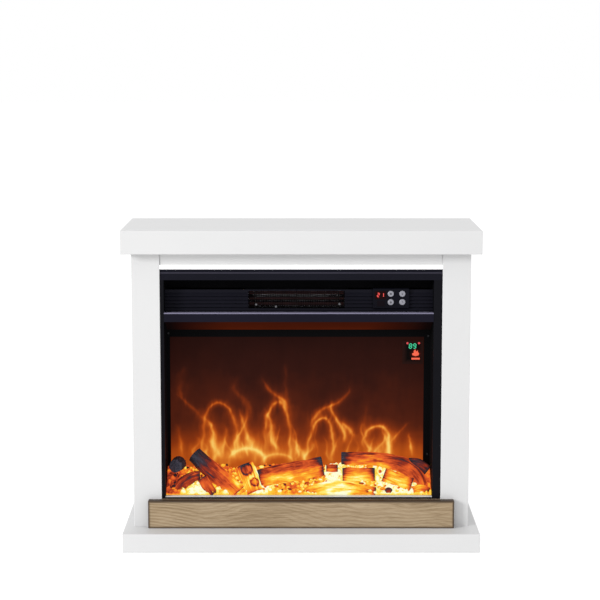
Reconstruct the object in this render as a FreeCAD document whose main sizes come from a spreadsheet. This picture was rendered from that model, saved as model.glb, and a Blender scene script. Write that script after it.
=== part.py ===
import FreeCAD, Part
import math
import os

import Sketcher

# Electric fireplace: a lacquered board surround with an oak plinth board, holding a steel electric
# insert with a fan heater, a flame-effect screen, a log and ember bed and four push buttons.
# Millimetres. Origin on the floor under the middle of the object, +X right, +Y back, +Z up.

DIMENSIONS = {
    # Surround
    "overall_width": 760,
    "overall_depth": 300,
    "overall_height": 685.5,
    "panel": 18,
    "edge_round": 1.5,
    "joint_gap": 0.4,
    "mantel_thickness": 50,
    "mantel_setback": 31,
    "leg_spread": 720,
    "leg_setback": 62,
    "opening_width": 600,
    "hearth_top": 41,
    "hearth_panel": 22,
    "hearth_rim": 40,
    "frieze_bottom": 609,
    "frieze_recess": 2.5,
    "trim_thickness": 14,
    "plinth_width": 657,
    "plinth_height": 60,
    "plinth_thickness": 17,
    "plinth_chamfer": 0.8,
    "shelf_thickness": 16,
    "shelf_depth": 218,
    "stretcher_height": 70,
    "glide_radius": 12,
    "glide_thickness": 3,
    "glide_proud": 0.5,
    "glide_inset": 20,
    "joint_block_length": 40,
    "joint_block_size": 18,
    "bracket_sheet": 2,
    "bracket_height": 40,
    "bracket_leg": 30,
    "bracket_hole_spread": 650,
    "bracket_hole_height": 520,
    "bracket_hole_radius": 2.5,
    # Steel insert
    "insert_recess": 2,
    "insert_top": 600.5,
    "sheet_metal": 1.2,
    "case_left": -293.2,
    "case_right": 283.2,
    "case_back": 110,
    "case_top": 590,
    "frame_depth": 10,
    "frame_sill": 2.5,
    "bezel_bottom": 577,
    "sill_rise": 3,
    "crossbar_bottom": 487.3,
    "crossbar_top": 506.4,
    "crossbar_depth": 17,
    "divider_top": 490.5,
    "louvre_front": -62.5,
    "louvre_back": -57,
    "louvre_count": 7,
    "louvre_pitch": 8,
    "louvre_top": 553,
    "outlet_left": -113,
    "outlet_right": 93,
    "outlet_bottom": 512.5,
    "outlet_top": 550,
    "mesh_pitch": 5,
    "mesh_bar": 1.2,
    "mesh_front": -56.4,
    "mesh_thickness": 0.8,
    "baffle_front": -42,
    "screen_front": -3,
    "screen_frame_depth": 4,
    "screen_frame_top": 457,
    "screen_left": -286,
    "screen_right": 268,
    "screen_bottom": 112,
    "screen_top": 441,
    "screen_thickness": 3,
    "status_left": 221,
    "status_right": 266,
    "status_bottom": 381,
    "status_top": 432,
    "vent_length": 60,
    "vent_height": 3,
    "vent_rows": 8,
    "vent_pitch": 9,
    # Heater
    "duct_left": -120,
    "duct_right": 100,
    "duct_bottom": 508,
    "duct_top": 554,
    "duct_front": -54,
    "duct_back": -12,
    "element_depth": -36,
    "element_radius": 3,
    "element_bottom": 519,
    "element_pitch": 12,
    "cutout_radius": 8,
    "cutout_height": 7,
    "blower_depth": 18,
    "blower_height": 540,
    "blower_left": -104,
    "blower_right": 84,
    "blower_radius": 24,
    "blade_depth": 6,
    "blade_thickness": 1,
    "blade_count": 18,
    "scroll_radius": 31,
    "shaft_radius": 3,
    "shaft_clearance": 0.08,
    "bush_radius": 8,
    "bush_length": 6,
    "blower_motor_radius": 22,
    "blower_motor_length": 36,
    # Flame effect
    "rotor_depth": 62,
    "rotor_height": 150,
    "rotor_left": -290,
    "rotor_right": 248,
    "paddle_radius": 17,
    "paddle_length": 24,
    "paddle_thickness": 1,
    "paddle_pitch": 52,
    "paddle_count": 5,
    "flame_motor_radius": 25,
    "flame_motor_length": 22,
    "stencil_depth": 30,
    "light_board_thickness": 1.6,
    # Controls
    "control_left": 153.5,
    "control_right": 230.5,
    "control_bottom": 513,
    "control_top": 556,
    "control_front": -66,
    "control_wall": 3,
    "control_depth": 16,
    "window_left": 157.6,
    "window_right": 181.4,
    "window_bottom": 533,
    "window_top": 550.4,
    "infrared_left": 162,
    "infrared_right": 179,
    "infrared_bottom": 518,
    "infrared_top": 530,
    "lens_gap": 0.15,
    "button_left": 191.3,
    "button_right": 216,
    "button_low": 527,
    "button_high": 545,
    "button_radius": 6.6,
    "button_gap": 0.35,
    "button_proud": 2.6,
    "button_flange": 7.9,
    "button_round": 1.4,
    "board_depth": -54,
    # Cable gland
    "gland_x": 200,
    "gland_height": 130,
    "gland_bore": 4,
    "gland_barrel": 8,
    "gland_flange": 12,
    "gland_start": 100,
    "gland_end": 136,
    # Fasteners
    "screw_radius": 3.5,
    "screw_height": 2,
    "small_screw_radius": 2.2,
    "small_screw_height": 1.4,
    # Ember bed
    "bed_front": -74,
    "bed_back": -8,
    "bed_bottom": 106.5,
    "bed_front_top": 113,
    "bed_middle": -40,
    "bed_middle_top": 140,
    "bed_back_top": 164,
}

# Each log is a round billet from a start point to an end point, with a radius.
LOGS = {
    "left_round_log": ((-271, -70, 169), (-267, -22, 164), 16),
    "diagonal_log": ((-233, -24, 184), (-148, -56, 121), 18),
    "knot_log": ((-122, -42, 166), (-104, -56, 124), 17),
    "centre_log": ((-92, -52, 138), (47, -34, 160), 20),
    "front_log": ((0, -60, 121), (160, -60, 121), 15),
    "rear_right_log": ((88, -26, 176), (250, -28, 170), 15),
}

# Smaller pieces of split log: corner nearest the front left floor, and size.
LOG_PIECES = {
    "corner_billet": ((248, -61, 108), (30, 25, 58)),
    "front_chunk": ((240, -74, 108), (36, 12, 18)),
    "middle_block": ((92, -56, 137), (68, 22, 26)),
    "tilted_block": ((178, -66, 118), (60, 20, 32)),
    "left_split": ((-268, -72, 112), (52, 20, 24)),
    "left_chip": ((-210, -73, 110), (24, 14, 26)),
    "back_stub": ((55, -40, 146), (28, 12, 14)),
}

Vector = FreeCAD.Vector
DOC = FreeCAD.newDocument("electric_fireplace")
SHEET = DOC.addObject("Spreadsheet::Sheet", "dims")
NODES = {}

LEFT = "-dims.overall_width/2"
RIGHT = "dims.overall_width/2"
FRONT = "-dims.overall_depth/2"
BACK = "dims.overall_depth/2"
MANTEL_FRONT = "(-dims.overall_depth/2 + dims.mantel_setback)"
MANTEL_BOTTOM = "(dims.overall_height - dims.mantel_thickness)"
LEG_FRONT = "(-dims.overall_depth/2 + dims.leg_setback)"
OPENING_LEFT = "(-dims.opening_width/2 + dims.joint_gap)"
OPENING_RIGHT = "(dims.opening_width/2 - dims.joint_gap)"
INSERT_BASE = "(dims.hearth_top + dims.plinth_height)"
INSERT_FRONT = f"({LEG_FRONT} + dims.insert_recess)"
FRAME_BACK = f"({INSERT_FRONT} + dims.frame_depth)"
SILL_TOP = f"({INSERT_BASE} + dims.frame_sill)"
INNER_LEFT = "(dims.case_left + dims.sheet_metal)"
INNER_RIGHT = "(dims.case_right - dims.sheet_metal)"
CROSSBAR_BACK = f"({INSERT_FRONT} - 1 + dims.crossbar_depth)"
SHAFT_HOLE = "(dims.shaft_radius + dims.shaft_clearance)"

AXIS_TURN = {
    "x": FreeCAD.Rotation(Vector(0, 1, 0), 90),
    "y": FreeCAD.Rotation(Vector(1, 0, 0), -90),
    "z": FreeCAD.Rotation(),
}


def fill_sheet():
    """Write every driving dimension to the spreadsheet."""
    rows = dict(DIMENSIONS)
    for name, (start, end, radius) in LOGS.items():
        rows[f"{name}_radius"] = radius
        for axis, low, high in zip("xyz", start, end):
            rows[f"{name}_start_{axis}"] = low
            rows[f"{name}_end_{axis}"] = high
    for name, (corner, size) in LOG_PIECES.items():
        for axis, low, length in zip("xyz", corner, size):
            rows[f"{name}_{axis}"] = low
            rows[f"{name}_size_{axis}"] = length
    for row, (alias, value) in enumerate(rows.items(), start=1):
        SHEET.set(f"A{row}", alias)
        SHEET.set(f"B{row}", str(value))
        SHEET.setAlias(f"B{row}", alias)
    DOC.recompute()


def number(expression):
    """Value of an expression in the sheet's dimensions."""
    return float(SHEET.evalExpression(expression))


def node(label, item):
    """Register an object as a sub-part of the fireplace under its own name."""
    item.Label = label
    NODES[label] = item
    return item


# ---- Part primitives ------------------------------------------------------------------------


def block(label, low, high):
    """Rectangular solid between two corners, each given as x, y, z expressions."""
    solid = DOC.addObject("Part::Box", label)
    for size, axis, start, end in zip(("Length", "Width", "Height"), "xyz", low, high):
        solid.setExpression(size, f"({end}) - ({start})")
        solid.setExpression(f"Placement.Base.{axis}", start)
    return solid


def rod(label, base, axis, radius, length):
    """Round solid from a base point along +X, +Y or +Z."""
    solid = DOC.addObject("Part::Cylinder", label)
    solid.Placement = FreeCAD.Placement(Vector(), AXIS_TURN[axis])
    solid.setExpression("Radius", radius)
    solid.setExpression("Height", length)
    for name, value in zip("xyz", base):
        solid.setExpression(f"Placement.Base.{name}", value)
    return solid


def cone(label, base, radius_start, radius_end, length):
    """Tapered round solid from a base point along +Y."""
    solid = DOC.addObject("Part::Cone", label)
    solid.Placement = FreeCAD.Placement(Vector(), AXIS_TURN["y"])
    solid.setExpression("Radius1", radius_start)
    solid.setExpression("Radius2", radius_end)
    solid.setExpression("Height", length)
    for name, value in zip("xyz", base):
        solid.setExpression(f"Placement.Base.{name}", value)
    return solid


def fused(label, pieces):
    """One solid made of several."""
    solid = DOC.addObject("Part::MultiFuse", label)
    solid.Shapes = pieces
    return solid


def cut(label, base, tool):
    """A solid with another taken away."""
    solid = DOC.addObject("Part::Cut", label)
    solid.Base = base
    solid.Tool = tool
    return solid


def group(label, pieces):
    """Separate solids kept together under one name."""
    solid = DOC.addObject("Part::Compound", label)
    solid.Links = pieces
    return solid


# ---- Part Design bodies ---------------------------------------------------------------------


def origin_feature(body, role):
    """Plane or axis of a body's own origin."""
    return [item for item in body.Origin.OriginFeatures if item.Role == role][0]


def new_body(label):
    """Empty Part Design body, registered as a sub-part."""
    return node(label, DOC.addObject("PartDesign::Body", label))


def new_sketch(body, plane, place="0"):
    """Sketch parallel to an origin plane, at a place along that plane's world axis.

    On XZ_Plane the sketch faces -Y: a pad grows to the front and a pocket cuts to the back.
    """
    sketch = body.newObject("Sketcher::SketchObject", f"{body.Name}_sketch")
    sketch.AttachmentSupport = [(origin_feature(body, plane), "")]
    sketch.MapMode = "FlatFace"
    sign = "-1 * " if plane == "XZ_Plane" else ""
    sketch.setExpression("AttachmentOffset.Base.z", f"{sign}({place})")
    return sketch


def outline(sketch, corners):
    """Closed run of straight lines through corners given as pairs of expressions."""
    first = sketch.GeometryCount
    count = len(corners)
    points = [Vector(number(across), number(up), 0) for across, up in corners]
    for index in range(count):
        line = Part.LineSegment(points[index], points[(index + 1) % count])
        sketch.addGeometry(line, False)
    for index in range(count):
        joint = Sketcher.Constraint("Coincident", first + index, 2, first + (index + 1) % count, 1)
        sketch.addConstraint(joint)
    for index, corner in enumerate(corners):
        for kind, expression in zip(("DistanceX", "DistanceY"), corner):
            value = number(expression)
            fixed = Sketcher.Constraint(kind, -1, 1, first + index, 1, value)
            place = sketch.addConstraint(fixed)
            sketch.setExpression(f"Constraints[{place}]", expression)


def rectangle(sketch, left, bottom, right, top):
    """Rectangle with its sides on four expressions."""
    outline(sketch, [(left, bottom), (right, bottom), (right, top), (left, top)])


def circle(sketch, across, up, radius):
    """Circle with its centre and radius on expressions."""
    centre = Vector(number(across), number(up), 0)
    index = sketch.addGeometry(Part.Circle(centre, Vector(0, 0, 1), number(radius)), False)
    rules = (
        (Sketcher.Constraint("Radius", index, number(radius)), radius),
        (Sketcher.Constraint("DistanceX", -1, 1, index, 3, centre.x), across),
        (Sketcher.Constraint("DistanceY", -1, 1, index, 3, centre.y), up),
    )
    for rule, expression in rules:
        place = sketch.addConstraint(rule)
        sketch.setExpression(f"Constraints[{place}]", expression)


def pad(body, sketch, length):
    """Grow a sketch along its normal."""
    feature = body.newObject("PartDesign::Pad", f"{body.Name}_pad")
    feature.Profile = sketch
    feature.setExpression("Length", length)
    DOC.recompute()
    return feature


def pocket(body, sketch, length, along_normal=False):
    """Cut a sketch into the body, and make sure that it removed something."""
    before = body.Shape.Volume
    feature = body.newObject("PartDesign::Pocket", f"{body.Name}_pocket")
    feature.Profile = sketch
    feature.setExpression("Length", length)
    feature.Reversed = along_normal
    DOC.recompute()
    if body.Shape.Volume >= before:
        raise RuntimeError(f"pocket in {body.Label} removes nothing")
    return feature


def round_edges(body, radius, wanted=None):
    """Fillet the body's edges, all of them or those that the test accepts."""
    base = body.Tip
    feature = body.newObject("PartDesign::Fillet", f"{body.Name}_fillet")
    if wanted is None:
        feature.Base = (base, [])
        feature.UseAllEdges = True
    else:
        edges = enumerate(base.Shape.Edges, start=1)
        feature.Base = (base, [f"Edge{index}" for index, edge in edges if wanted(edge)])
    feature.setExpression("Radius", radius)
    DOC.recompute()
    return feature


def chamfer_edges(body, size):
    """Chamfer all of the body's edges."""
    base = body.Tip
    feature = body.newObject("PartDesign::Chamfer", f"{body.Name}_chamfer")
    feature.Base = (base, [])
    feature.UseAllEdges = True
    feature.setExpression("Size", size)
    DOC.recompute()
    return feature


def repeated(body, feature, axis, length, count):
    """Linear pattern of a feature along an origin axis."""
    pattern = body.newObject("PartDesign::LinearPattern", f"{body.Name}_row")
    pattern.Originals = [feature]
    pattern.Direction = (origin_feature(body, axis), [""])
    pattern.setExpression("Length", length)
    pattern.setExpression("Occurrences", count)
    body.Tip = pattern
    DOC.recompute()
    return pattern


def profile_along_x(label, corners, left, right):
    """Body with a constant section, drawn in Y and Z, between two X places."""
    body = new_body(label)
    sketch = new_sketch(body, "YZ_Plane", left)
    outline(sketch, corners)
    pad(body, sketch, f"({right}) - ({left})")
    return body


def is_upright(edge):
    """True for an edge that runs along Z."""
    start, end = edge.Vertexes[0].Point, edge.Vertexes[-1].Point
    return abs(end.z - start.z) > 1 and math.hypot(end.x - start.x, end.y - start.y) < 0.01


# ---- Surround -------------------------------------------------------------------------------


def make_mantel():
    body = new_body("mantel_shelf")
    sketch = new_sketch(body, "XY_Plane", MANTEL_BOTTOM)
    rectangle(sketch, LEFT, MANTEL_FRONT, RIGHT, BACK)
    pad(body, sketch, "dims.mantel_thickness")
    round_edges(body, "dims.edge_round")


def make_leg(label, sign):
    """Post of L section: a front stile and a side panel that runs back to the wall."""
    outer = f"{sign}dims.leg_spread/2"
    inner = f"{sign}dims.opening_width/2"
    lining = f"{sign}(dims.leg_spread/2 - dims.panel)"
    stile_back = f"{LEG_FRONT} + dims.panel"
    body = new_body(label)
    sketch = new_sketch(body, "XY_Plane", "dims.hearth_top")
    corners = [(outer, LEG_FRONT), (inner, LEG_FRONT), (inner, stile_back)]
    corners += [(lining, stile_back), (lining, BACK), (outer, BACK)]
    outline(sketch, corners)
    pad(body, sketch, f"{MANTEL_BOTTOM} - dims.hearth_top")
    round_edges(body, "dims.edge_round * 2/3", is_upright)


def make_hearth():
    """Hearth slab: a folded tray, open underneath, with sockets for the glides in its rim."""
    body = new_body("hearth_base")
    sketch = new_sketch(body, "XY_Plane", "dims.glide_proud")
    rectangle(sketch, LEFT, FRONT, RIGHT, BACK)
    pad(body, sketch, "dims.hearth_top - dims.glide_proud")
    round_edges(body, "dims.edge_round")
    hollow = new_sketch(body, "XY_Plane", "dims.glide_proud")
    inset = [f"{LEFT} + dims.hearth_rim", f"{FRONT} + dims.hearth_rim"]
    inset += [f"{RIGHT} - dims.hearth_rim", f"{BACK} - dims.hearth_rim"]
    rectangle(hollow, *inset)
    depth = "dims.hearth_top - dims.glide_proud - dims.hearth_panel"
    pocket(body, hollow, depth, along_normal=True)
    sockets = new_sketch(body, "XY_Plane", "dims.glide_proud")
    for across, along in glide_places():
        circle(sockets, across, along, "dims.glide_radius + 0.3")
    pocket(body, sockets, "dims.glide_thickness - dims.glide_proud", along_normal=True)


def glide_places():
    """Centres of the four glides, under the rim's corners."""
    across = "(dims.overall_width/2 - dims.glide_inset)"
    along = "(dims.overall_depth/2 - dims.glide_inset)"
    return [(f"{side}{across}", f"{end}{along}") for side in ("-1 * ", "") for end in ("-1 * ", "")]


def make_glides():
    pads = [
        rod("glide", (across, along, "0"), "z", "dims.glide_radius", "dims.glide_thickness")
        for across, along in glide_places()
    ]
    node("glide_feet", group("glide_feet", pads))


def make_frieze_and_trim():
    frieze_front = f"{LEG_FRONT} + dims.frieze_recess"
    low = (OPENING_LEFT, frieze_front, "dims.frieze_bottom")
    high = (OPENING_RIGHT, f"{frieze_front} + dims.panel", MANTEL_BOTTOM)
    node("frieze_rail", block("frieze_rail", low, high))
    trim_front = f"{LEG_FRONT} + dims.insert_recess/2"
    low = (OPENING_LEFT, trim_front, "dims.insert_top")
    high = (OPENING_RIGHT, f"{trim_front} + dims.trim_thickness", "dims.frieze_bottom")
    node("opening_trim_strip", block("opening_trim_strip", low, high))


def make_plinth():
    body = new_body("plinth_board")
    sketch = new_sketch(body, "XY_Plane", "dims.hearth_top")
    sides = ("-dims.plinth_width/2", "dims.plinth_width/2")
    rectangle(sketch, sides[0], f"{LEG_FRONT} - dims.plinth_thickness", sides[1], LEG_FRONT)
    pad(body, sketch, "dims.plinth_height")
    chamfer_edges(body, "dims.plinth_chamfer")
    shelf_bottom = f"{INSERT_BASE} - dims.shelf_thickness"
    low = (OPENING_LEFT, LEG_FRONT, shelf_bottom)
    high = (OPENING_RIGHT, f"{LEG_FRONT} + dims.shelf_depth", INSERT_BASE)
    node("plinth_shelf", block("plinth_shelf", low, high))
    rails = []
    for start in (LEG_FRONT, f"{LEG_FRONT} + dims.shelf_depth - dims.shelf_thickness"):
        low = (OPENING_LEFT, start, "dims.hearth_top")
        high = (OPENING_RIGHT, f"{start} + dims.shelf_thickness", shelf_bottom)
        rails.append(block("plinth_rail", low, high))
    node("plinth_rails", group("plinth_rails", rails))


def make_carcass_fittings():
    """Stretcher and corner blocks that tie the legs to the mantel, and the wall brackets."""
    inside = "(dims.leg_spread/2 - dims.panel)"
    low = (f"-{inside}", f"{BACK} - dims.panel", f"{MANTEL_BOTTOM} - dims.stretcher_height")
    node("rear_stretcher", block("rear_stretcher", low, (inside, BACK, MANTEL_BOTTOM)))
    blocks = []
    for left in (f"-{inside}", f"{inside} - dims.joint_block_size"):
        for start in (f"{LEG_FRONT} + dims.panel + 2", f"{BACK} - dims.panel - dims.joint_block_length"):
            low = (left, start, f"{MANTEL_BOTTOM} - dims.joint_block_size")
            high = (f"{left} + dims.joint_block_size", f"{start} + dims.joint_block_length", MANTEL_BOTTOM)
            blocks.append(block("joint_block", low, high))
    node("joint_blocks", group("joint_blocks", blocks))
    node("wall_brackets", group("wall_brackets", [make_bracket("-1 * "), make_bracket("")]))


def make_bracket(sign):
    """Folded steel angle: one leg on the side panel, one against the wall with a screw hole."""
    inside = f"{sign}(dims.leg_spread/2 - dims.panel)"
    sheet = f"{sign}(dims.leg_spread/2 - dims.panel - dims.bracket_sheet)"
    tip = f"{sign}(dims.leg_spread/2 - dims.panel - dims.bracket_leg)"
    body = DOC.addObject("PartDesign::Body", "wall_bracket")
    base = "dims.bracket_hole_height - dims.bracket_height/2"
    sketch = new_sketch(body, "XY_Plane", base)
    wall_face = f"{BACK} - dims.bracket_sheet"
    corners = [(inside, BACK), (tip, BACK), (tip, wall_face), (sheet, wall_face)]
    corners += [(sheet, f"{BACK} - dims.bracket_leg"), (inside, f"{BACK} - dims.bracket_leg")]
    outline(sketch, corners)
    pad(body, sketch, "dims.bracket_height")
    hole = new_sketch(body, "XZ_Plane", wall_face)
    circle(hole, f"{sign}dims.bracket_hole_spread/2", "dims.bracket_hole_height", "dims.bracket_hole_radius")
    pocket(body, hole, "dims.bracket_sheet")
    return body


# ---- Insert case and front ------------------------------------------------------------------


def make_case():
    body = new_body("case_shell")
    sketch = new_sketch(body, "XZ_Plane", "dims.case_back")
    rectangle(sketch, "dims.case_left", INSERT_BASE, "dims.case_right", "dims.case_top")
    rectangle(
        sketch,
        INNER_LEFT,
        f"{INSERT_BASE} + dims.sheet_metal",
        INNER_RIGHT,
        "dims.case_top - dims.sheet_metal",
    )
    pad(body, sketch, f"dims.case_back - {FRAME_BACK}")


def make_rear_cover():
    """Flat back with rows of air inlet slots at the blower and a hole for the cable gland."""
    body = new_body("rear_cover")
    sketch = new_sketch(body, "XZ_Plane", "dims.case_back + dims.sheet_metal")
    rectangle(sketch, "dims.case_left", INSERT_BASE, "dims.case_right", "dims.case_top")
    circle(sketch, "dims.gland_x", "dims.gland_height", "dims.gland_barrel + 0.2")
    pad(body, sketch, "dims.sheet_metal")
    slots = new_sketch(body, "XZ_Plane", "dims.case_back")
    for column in (-1, 0, 1):
        middle = f"dims.duct_left/2 + dims.duct_right/2 + {column} * dims.vent_length * 1.25"
        left, right = f"{middle} - dims.vent_length/2", f"{middle} + dims.vent_length/2"
        rectangle(slots, left, "dims.duct_bottom", right, "dims.duct_bottom + dims.vent_height")
    row = pocket(body, slots, "dims.sheet_metal")
    repeated(body, row, "Z_Axis", "(dims.vent_rows - 1) * dims.vent_pitch", "dims.vent_rows")


def make_front_frame():
    """U-shaped face frame: two stiles and the sill rail, with the window between them."""
    body = new_body("front_frame")
    sketch = new_sketch(body, "XZ_Plane", FRAME_BACK)
    corners = [
        (OPENING_LEFT, INSERT_BASE),
        (OPENING_RIGHT, INSERT_BASE),
        (OPENING_RIGHT, "dims.bezel_bottom"),
        (INNER_RIGHT, "dims.bezel_bottom"),
        (INNER_RIGHT, SILL_TOP),
        (INNER_LEFT, SILL_TOP),
        (INNER_LEFT, "dims.bezel_bottom"),
        (OPENING_LEFT, "dims.bezel_bottom"),
    ]
    outline(sketch, corners)
    pad(body, sketch, "dims.frame_depth")


def make_top_bezel():
    """Top bezel: flat face, a groove, a bright raised bead and a thin top flange."""
    front = INSERT_FRONT
    corners = [
        (FRAME_BACK, "dims.bezel_bottom"),
        (front, "dims.bezel_bottom"),
        (front, "dims.insert_top - 9"),
        (f"{front} + 1.4", "dims.insert_top - 8"),
        (f"{front} + 1.4", "dims.insert_top - 7"),
        (f"{front} - 0.4", "dims.insert_top - 6"),
        (f"{front} + 1.2", "dims.insert_top - 3.4"),
        (f"{front} + 1.2", "dims.insert_top"),
        (FRAME_BACK, "dims.insert_top"),
    ]
    profile_along_x("top_bezel", corners, OPENING_LEFT, OPENING_RIGHT)


def make_crossbar():
    """Folded channel between the air outlet and the window, with a bevelled top edge."""
    face = f"({INSERT_FRONT} - 1)"
    low, high, sheet = "dims.crossbar_bottom", "dims.crossbar_top", "1.5"
    corners = [
        (CROSSBAR_BACK, low),
        (face, low),
        (face, f"{high} - 1.6"),
        (f"{face} + 1.6", high),
        (CROSSBAR_BACK, high),
        (CROSSBAR_BACK, f"{high} - {sheet}"),
        (f"{face} + 2.2", f"{high} - {sheet}"),
        (f"{face} + {sheet}", f"{high} - 2.2"),
        (f"{face} + {sheet}", f"{low} + {sheet}"),
        (CROSSBAR_BACK, f"{low} + {sheet}"),
    ]
    profile_along_x("crossbar", corners, f"{INNER_LEFT} + 0.2", f"{INNER_RIGHT} - 0.2")


def make_sill_trim():
    """Bright lip along the window's lower edge, with a slightly sloping top."""
    corners = [
        (f"{INSERT_FRONT} - 0.6", SILL_TOP),
        (f"{INSERT_FRONT} - 0.6", f"{SILL_TOP} + dims.sill_rise - 0.8"),
        (f"{INSERT_FRONT} + 0.4", f"{SILL_TOP} + dims.sill_rise - 0.2"),
        (f"{FRAME_BACK} + 1", f"{SILL_TOP} + dims.sill_rise"),
        (f"{FRAME_BACK} + 1", SILL_TOP),
    ]
    profile_along_x("sill_trim", corners, f"{INNER_LEFT} + 0.2", f"{INNER_RIGHT} - 0.2")


def make_louvre_panel():
    """Ribbed outlet panel: sloping ribs, a window for the warm air and a notch for the controls."""
    back, front, valley = "dims.louvre_back", "dims.louvre_front", "(dims.louvre_back - 2)"
    corners = [(back, "dims.louvre_top"), (back, "dims.divider_top")]
    for rib in range(DIMENSIONS["louvre_count"]):
        foot = f"(dims.divider_top + {rib} * dims.louvre_pitch)"
        corners += [(valley, foot), (front, f"{foot} + 1.2"), (front, f"{foot} + 2.6")]
    corners += [(valley, f"dims.divider_top + {DIMENSIONS['louvre_count']} * dims.louvre_pitch")]
    corners += [(valley, "dims.louvre_top")]
    body = profile_along_x("louvre_panel", corners, f"{INNER_LEFT} + 0.2", f"{INNER_RIGHT} - 0.2")
    window = new_sketch(body, "XZ_Plane", "dims.louvre_front - 1")
    rectangle(window, "dims.outlet_left", "dims.outlet_bottom", "dims.outlet_right", "dims.outlet_top")
    gap = "0.3"
    left, right = f"dims.control_left - {gap}", f"dims.control_right + {gap}"
    rectangle(window, left, f"dims.control_bottom - {gap}", right, "dims.louvre_top + 2")
    pocket(body, window, "dims.louvre_back - dims.louvre_front + 2")


def make_heater_mesh():
    """Guard behind the outlet window: a sheet with rows of square holes."""
    margin = 5
    left, right = number("dims.outlet_left") - margin, number("dims.outlet_right") + margin
    bottom, top = number("dims.outlet_bottom") - 3.5, number("dims.outlet_top") + 3
    pitch, bar = number("dims.mesh_pitch"), number("dims.mesh_bar")
    columns = int((right - left - bar) / pitch)
    rows = int((top - bottom - bar) / pitch)
    start_x = (left + right - columns * pitch + bar) / 2
    start_z = (bottom + top - rows * pitch + bar) / 2
    hole = pitch - bar

    def square(x, z, width, height):
        corners = [(x, z), (x + width, z), (x + width, z + height), (x, z + height), (x, z)]
        return Part.makePolygon([Vector(across, 0, up) for across, up in corners])

    sheet = Part.Face(square(left, bottom, right - left, top - bottom))
    cells = [
        Part.Face(square(start_x + column * pitch, start_z + row * pitch, hole, hole))
        for column in range(columns)
        for row in range(rows)
    ]
    sheet = sheet.cut(Part.makeCompound(cells)).Faces[0]
    feature = DOC.addObject("Part::Feature", "heater_mesh")
    feature.Shape = sheet.extrude(Vector(0, number("dims.mesh_thickness"), 0))
    feature.Placement = FreeCAD.Placement(Vector(0, number("dims.mesh_front"), 0), FreeCAD.Rotation())
    node("heater_mesh", feature)


def make_inner_panels():
    """Air baffle over the duct, divider shelf under the heater and the sloping hood panel."""
    low = (INNER_LEFT, "dims.baffle_front", "dims.duct_top + 0.4")
    high = (INNER_RIGHT, "dims.baffle_front + dims.sheet_metal", "dims.case_top - dims.sheet_metal")
    node("air_baffle", block("air_baffle", low, high))
    low = (INNER_LEFT, f"{CROSSBAR_BACK} + 0.2", "dims.divider_top - 1.4")
    high = (INNER_RIGHT, "dims.case_back", "dims.divider_top")
    node("divider_shelf", block("divider_shelf", low, high))
    start = f"{CROSSBAR_BACK} + 0.2"
    corners = [
        (start, "dims.crossbar_bottom"),
        ("dims.screen_front", "dims.screen_frame_top"),
        ("dims.screen_front", "dims.screen_frame_top + dims.sheet_metal"),
        (start, "dims.crossbar_bottom + dims.sheet_metal"),
    ]
    profile_along_x("hood_panel", corners, INNER_LEFT, INNER_RIGHT)


def make_screen():
    """Screen frame, the flame screen behind it and the small status display on it."""
    body = new_body("screen_frame")
    sketch = new_sketch(body, "XZ_Plane", "dims.screen_front + dims.screen_frame_depth")
    floor = f"{INSERT_BASE} + dims.sheet_metal"
    rectangle(sketch, INNER_LEFT, floor, INNER_RIGHT, "dims.screen_frame_top")
    rectangle(sketch, "dims.screen_left", "dims.screen_bottom", "dims.screen_right", "dims.screen_top")
    pad(body, sketch, "dims.screen_frame_depth")
    back = "dims.screen_front + dims.screen_frame_depth"
    low = ("dims.screen_left - 3", back, floor)
    high = ("dims.screen_right + 8", f"{back} + dims.screen_thickness", "dims.screen_frame_top - 3")
    node("flame_screen", block("flame_screen", low, high))
    low = ("dims.status_left", "dims.screen_front", "dims.status_bottom")
    high = ("dims.status_right", f"{back}", "dims.status_top")
    node("status_display", block("status_display", low, high))


# ---- Fan heater -----------------------------------------------------------------------------


def make_duct():
    body = new_body("heater_duct")
    sketch = new_sketch(body, "XZ_Plane", "dims.duct_back")
    rectangle(sketch, "dims.duct_left", "dims.duct_bottom", "dims.duct_right", "dims.duct_top")
    inside = ["dims.duct_left + 1", "dims.duct_bottom + 1", "dims.duct_right - 1", "dims.duct_top - 1"]
    rectangle(sketch, *inside)
    pad(body, sketch, "dims.duct_back - dims.duct_front")


def make_element():
    """Three heating rods held in slotted insulating plates, and the thermal cut-out on the duct."""
    rods, holes, plates = [], [], []
    for row in range(3):
        height = f"dims.element_bottom + {row} * dims.element_pitch"
        start = ("dims.duct_left + 8", "dims.element_depth", height)
        length = "dims.duct_right - dims.duct_left - 16"
        rods.append(rod("element_rod", start, "x", "dims.element_radius", length))
        holes.append(rod("element_hole", start, "x", "dims.element_radius + 0.4", length))
    node("heating_element", group("heating_element", rods))
    for place in ("dims.duct_left + 20", "(dims.duct_left + dims.duct_right)/2", "dims.duct_right - 21.5"):
        low = (place, "dims.element_depth - 9", "dims.duct_bottom + 1")
        high = (f"{place} + 1.5", "dims.element_depth + 9", "dims.duct_top - 1")
        plates.append(block("element_plate", low, high))
    supports = cut("element_supports", group("plates", plates), fused("element_holes", holes))
    node("element_supports", supports)
    base = ("dims.duct_right - 40", "dims.duct_back - 14", "dims.duct_top")
    node("thermal_cutout", rod("thermal_cutout", base, "z", "dims.cutout_radius", "dims.cutout_height"))


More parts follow.
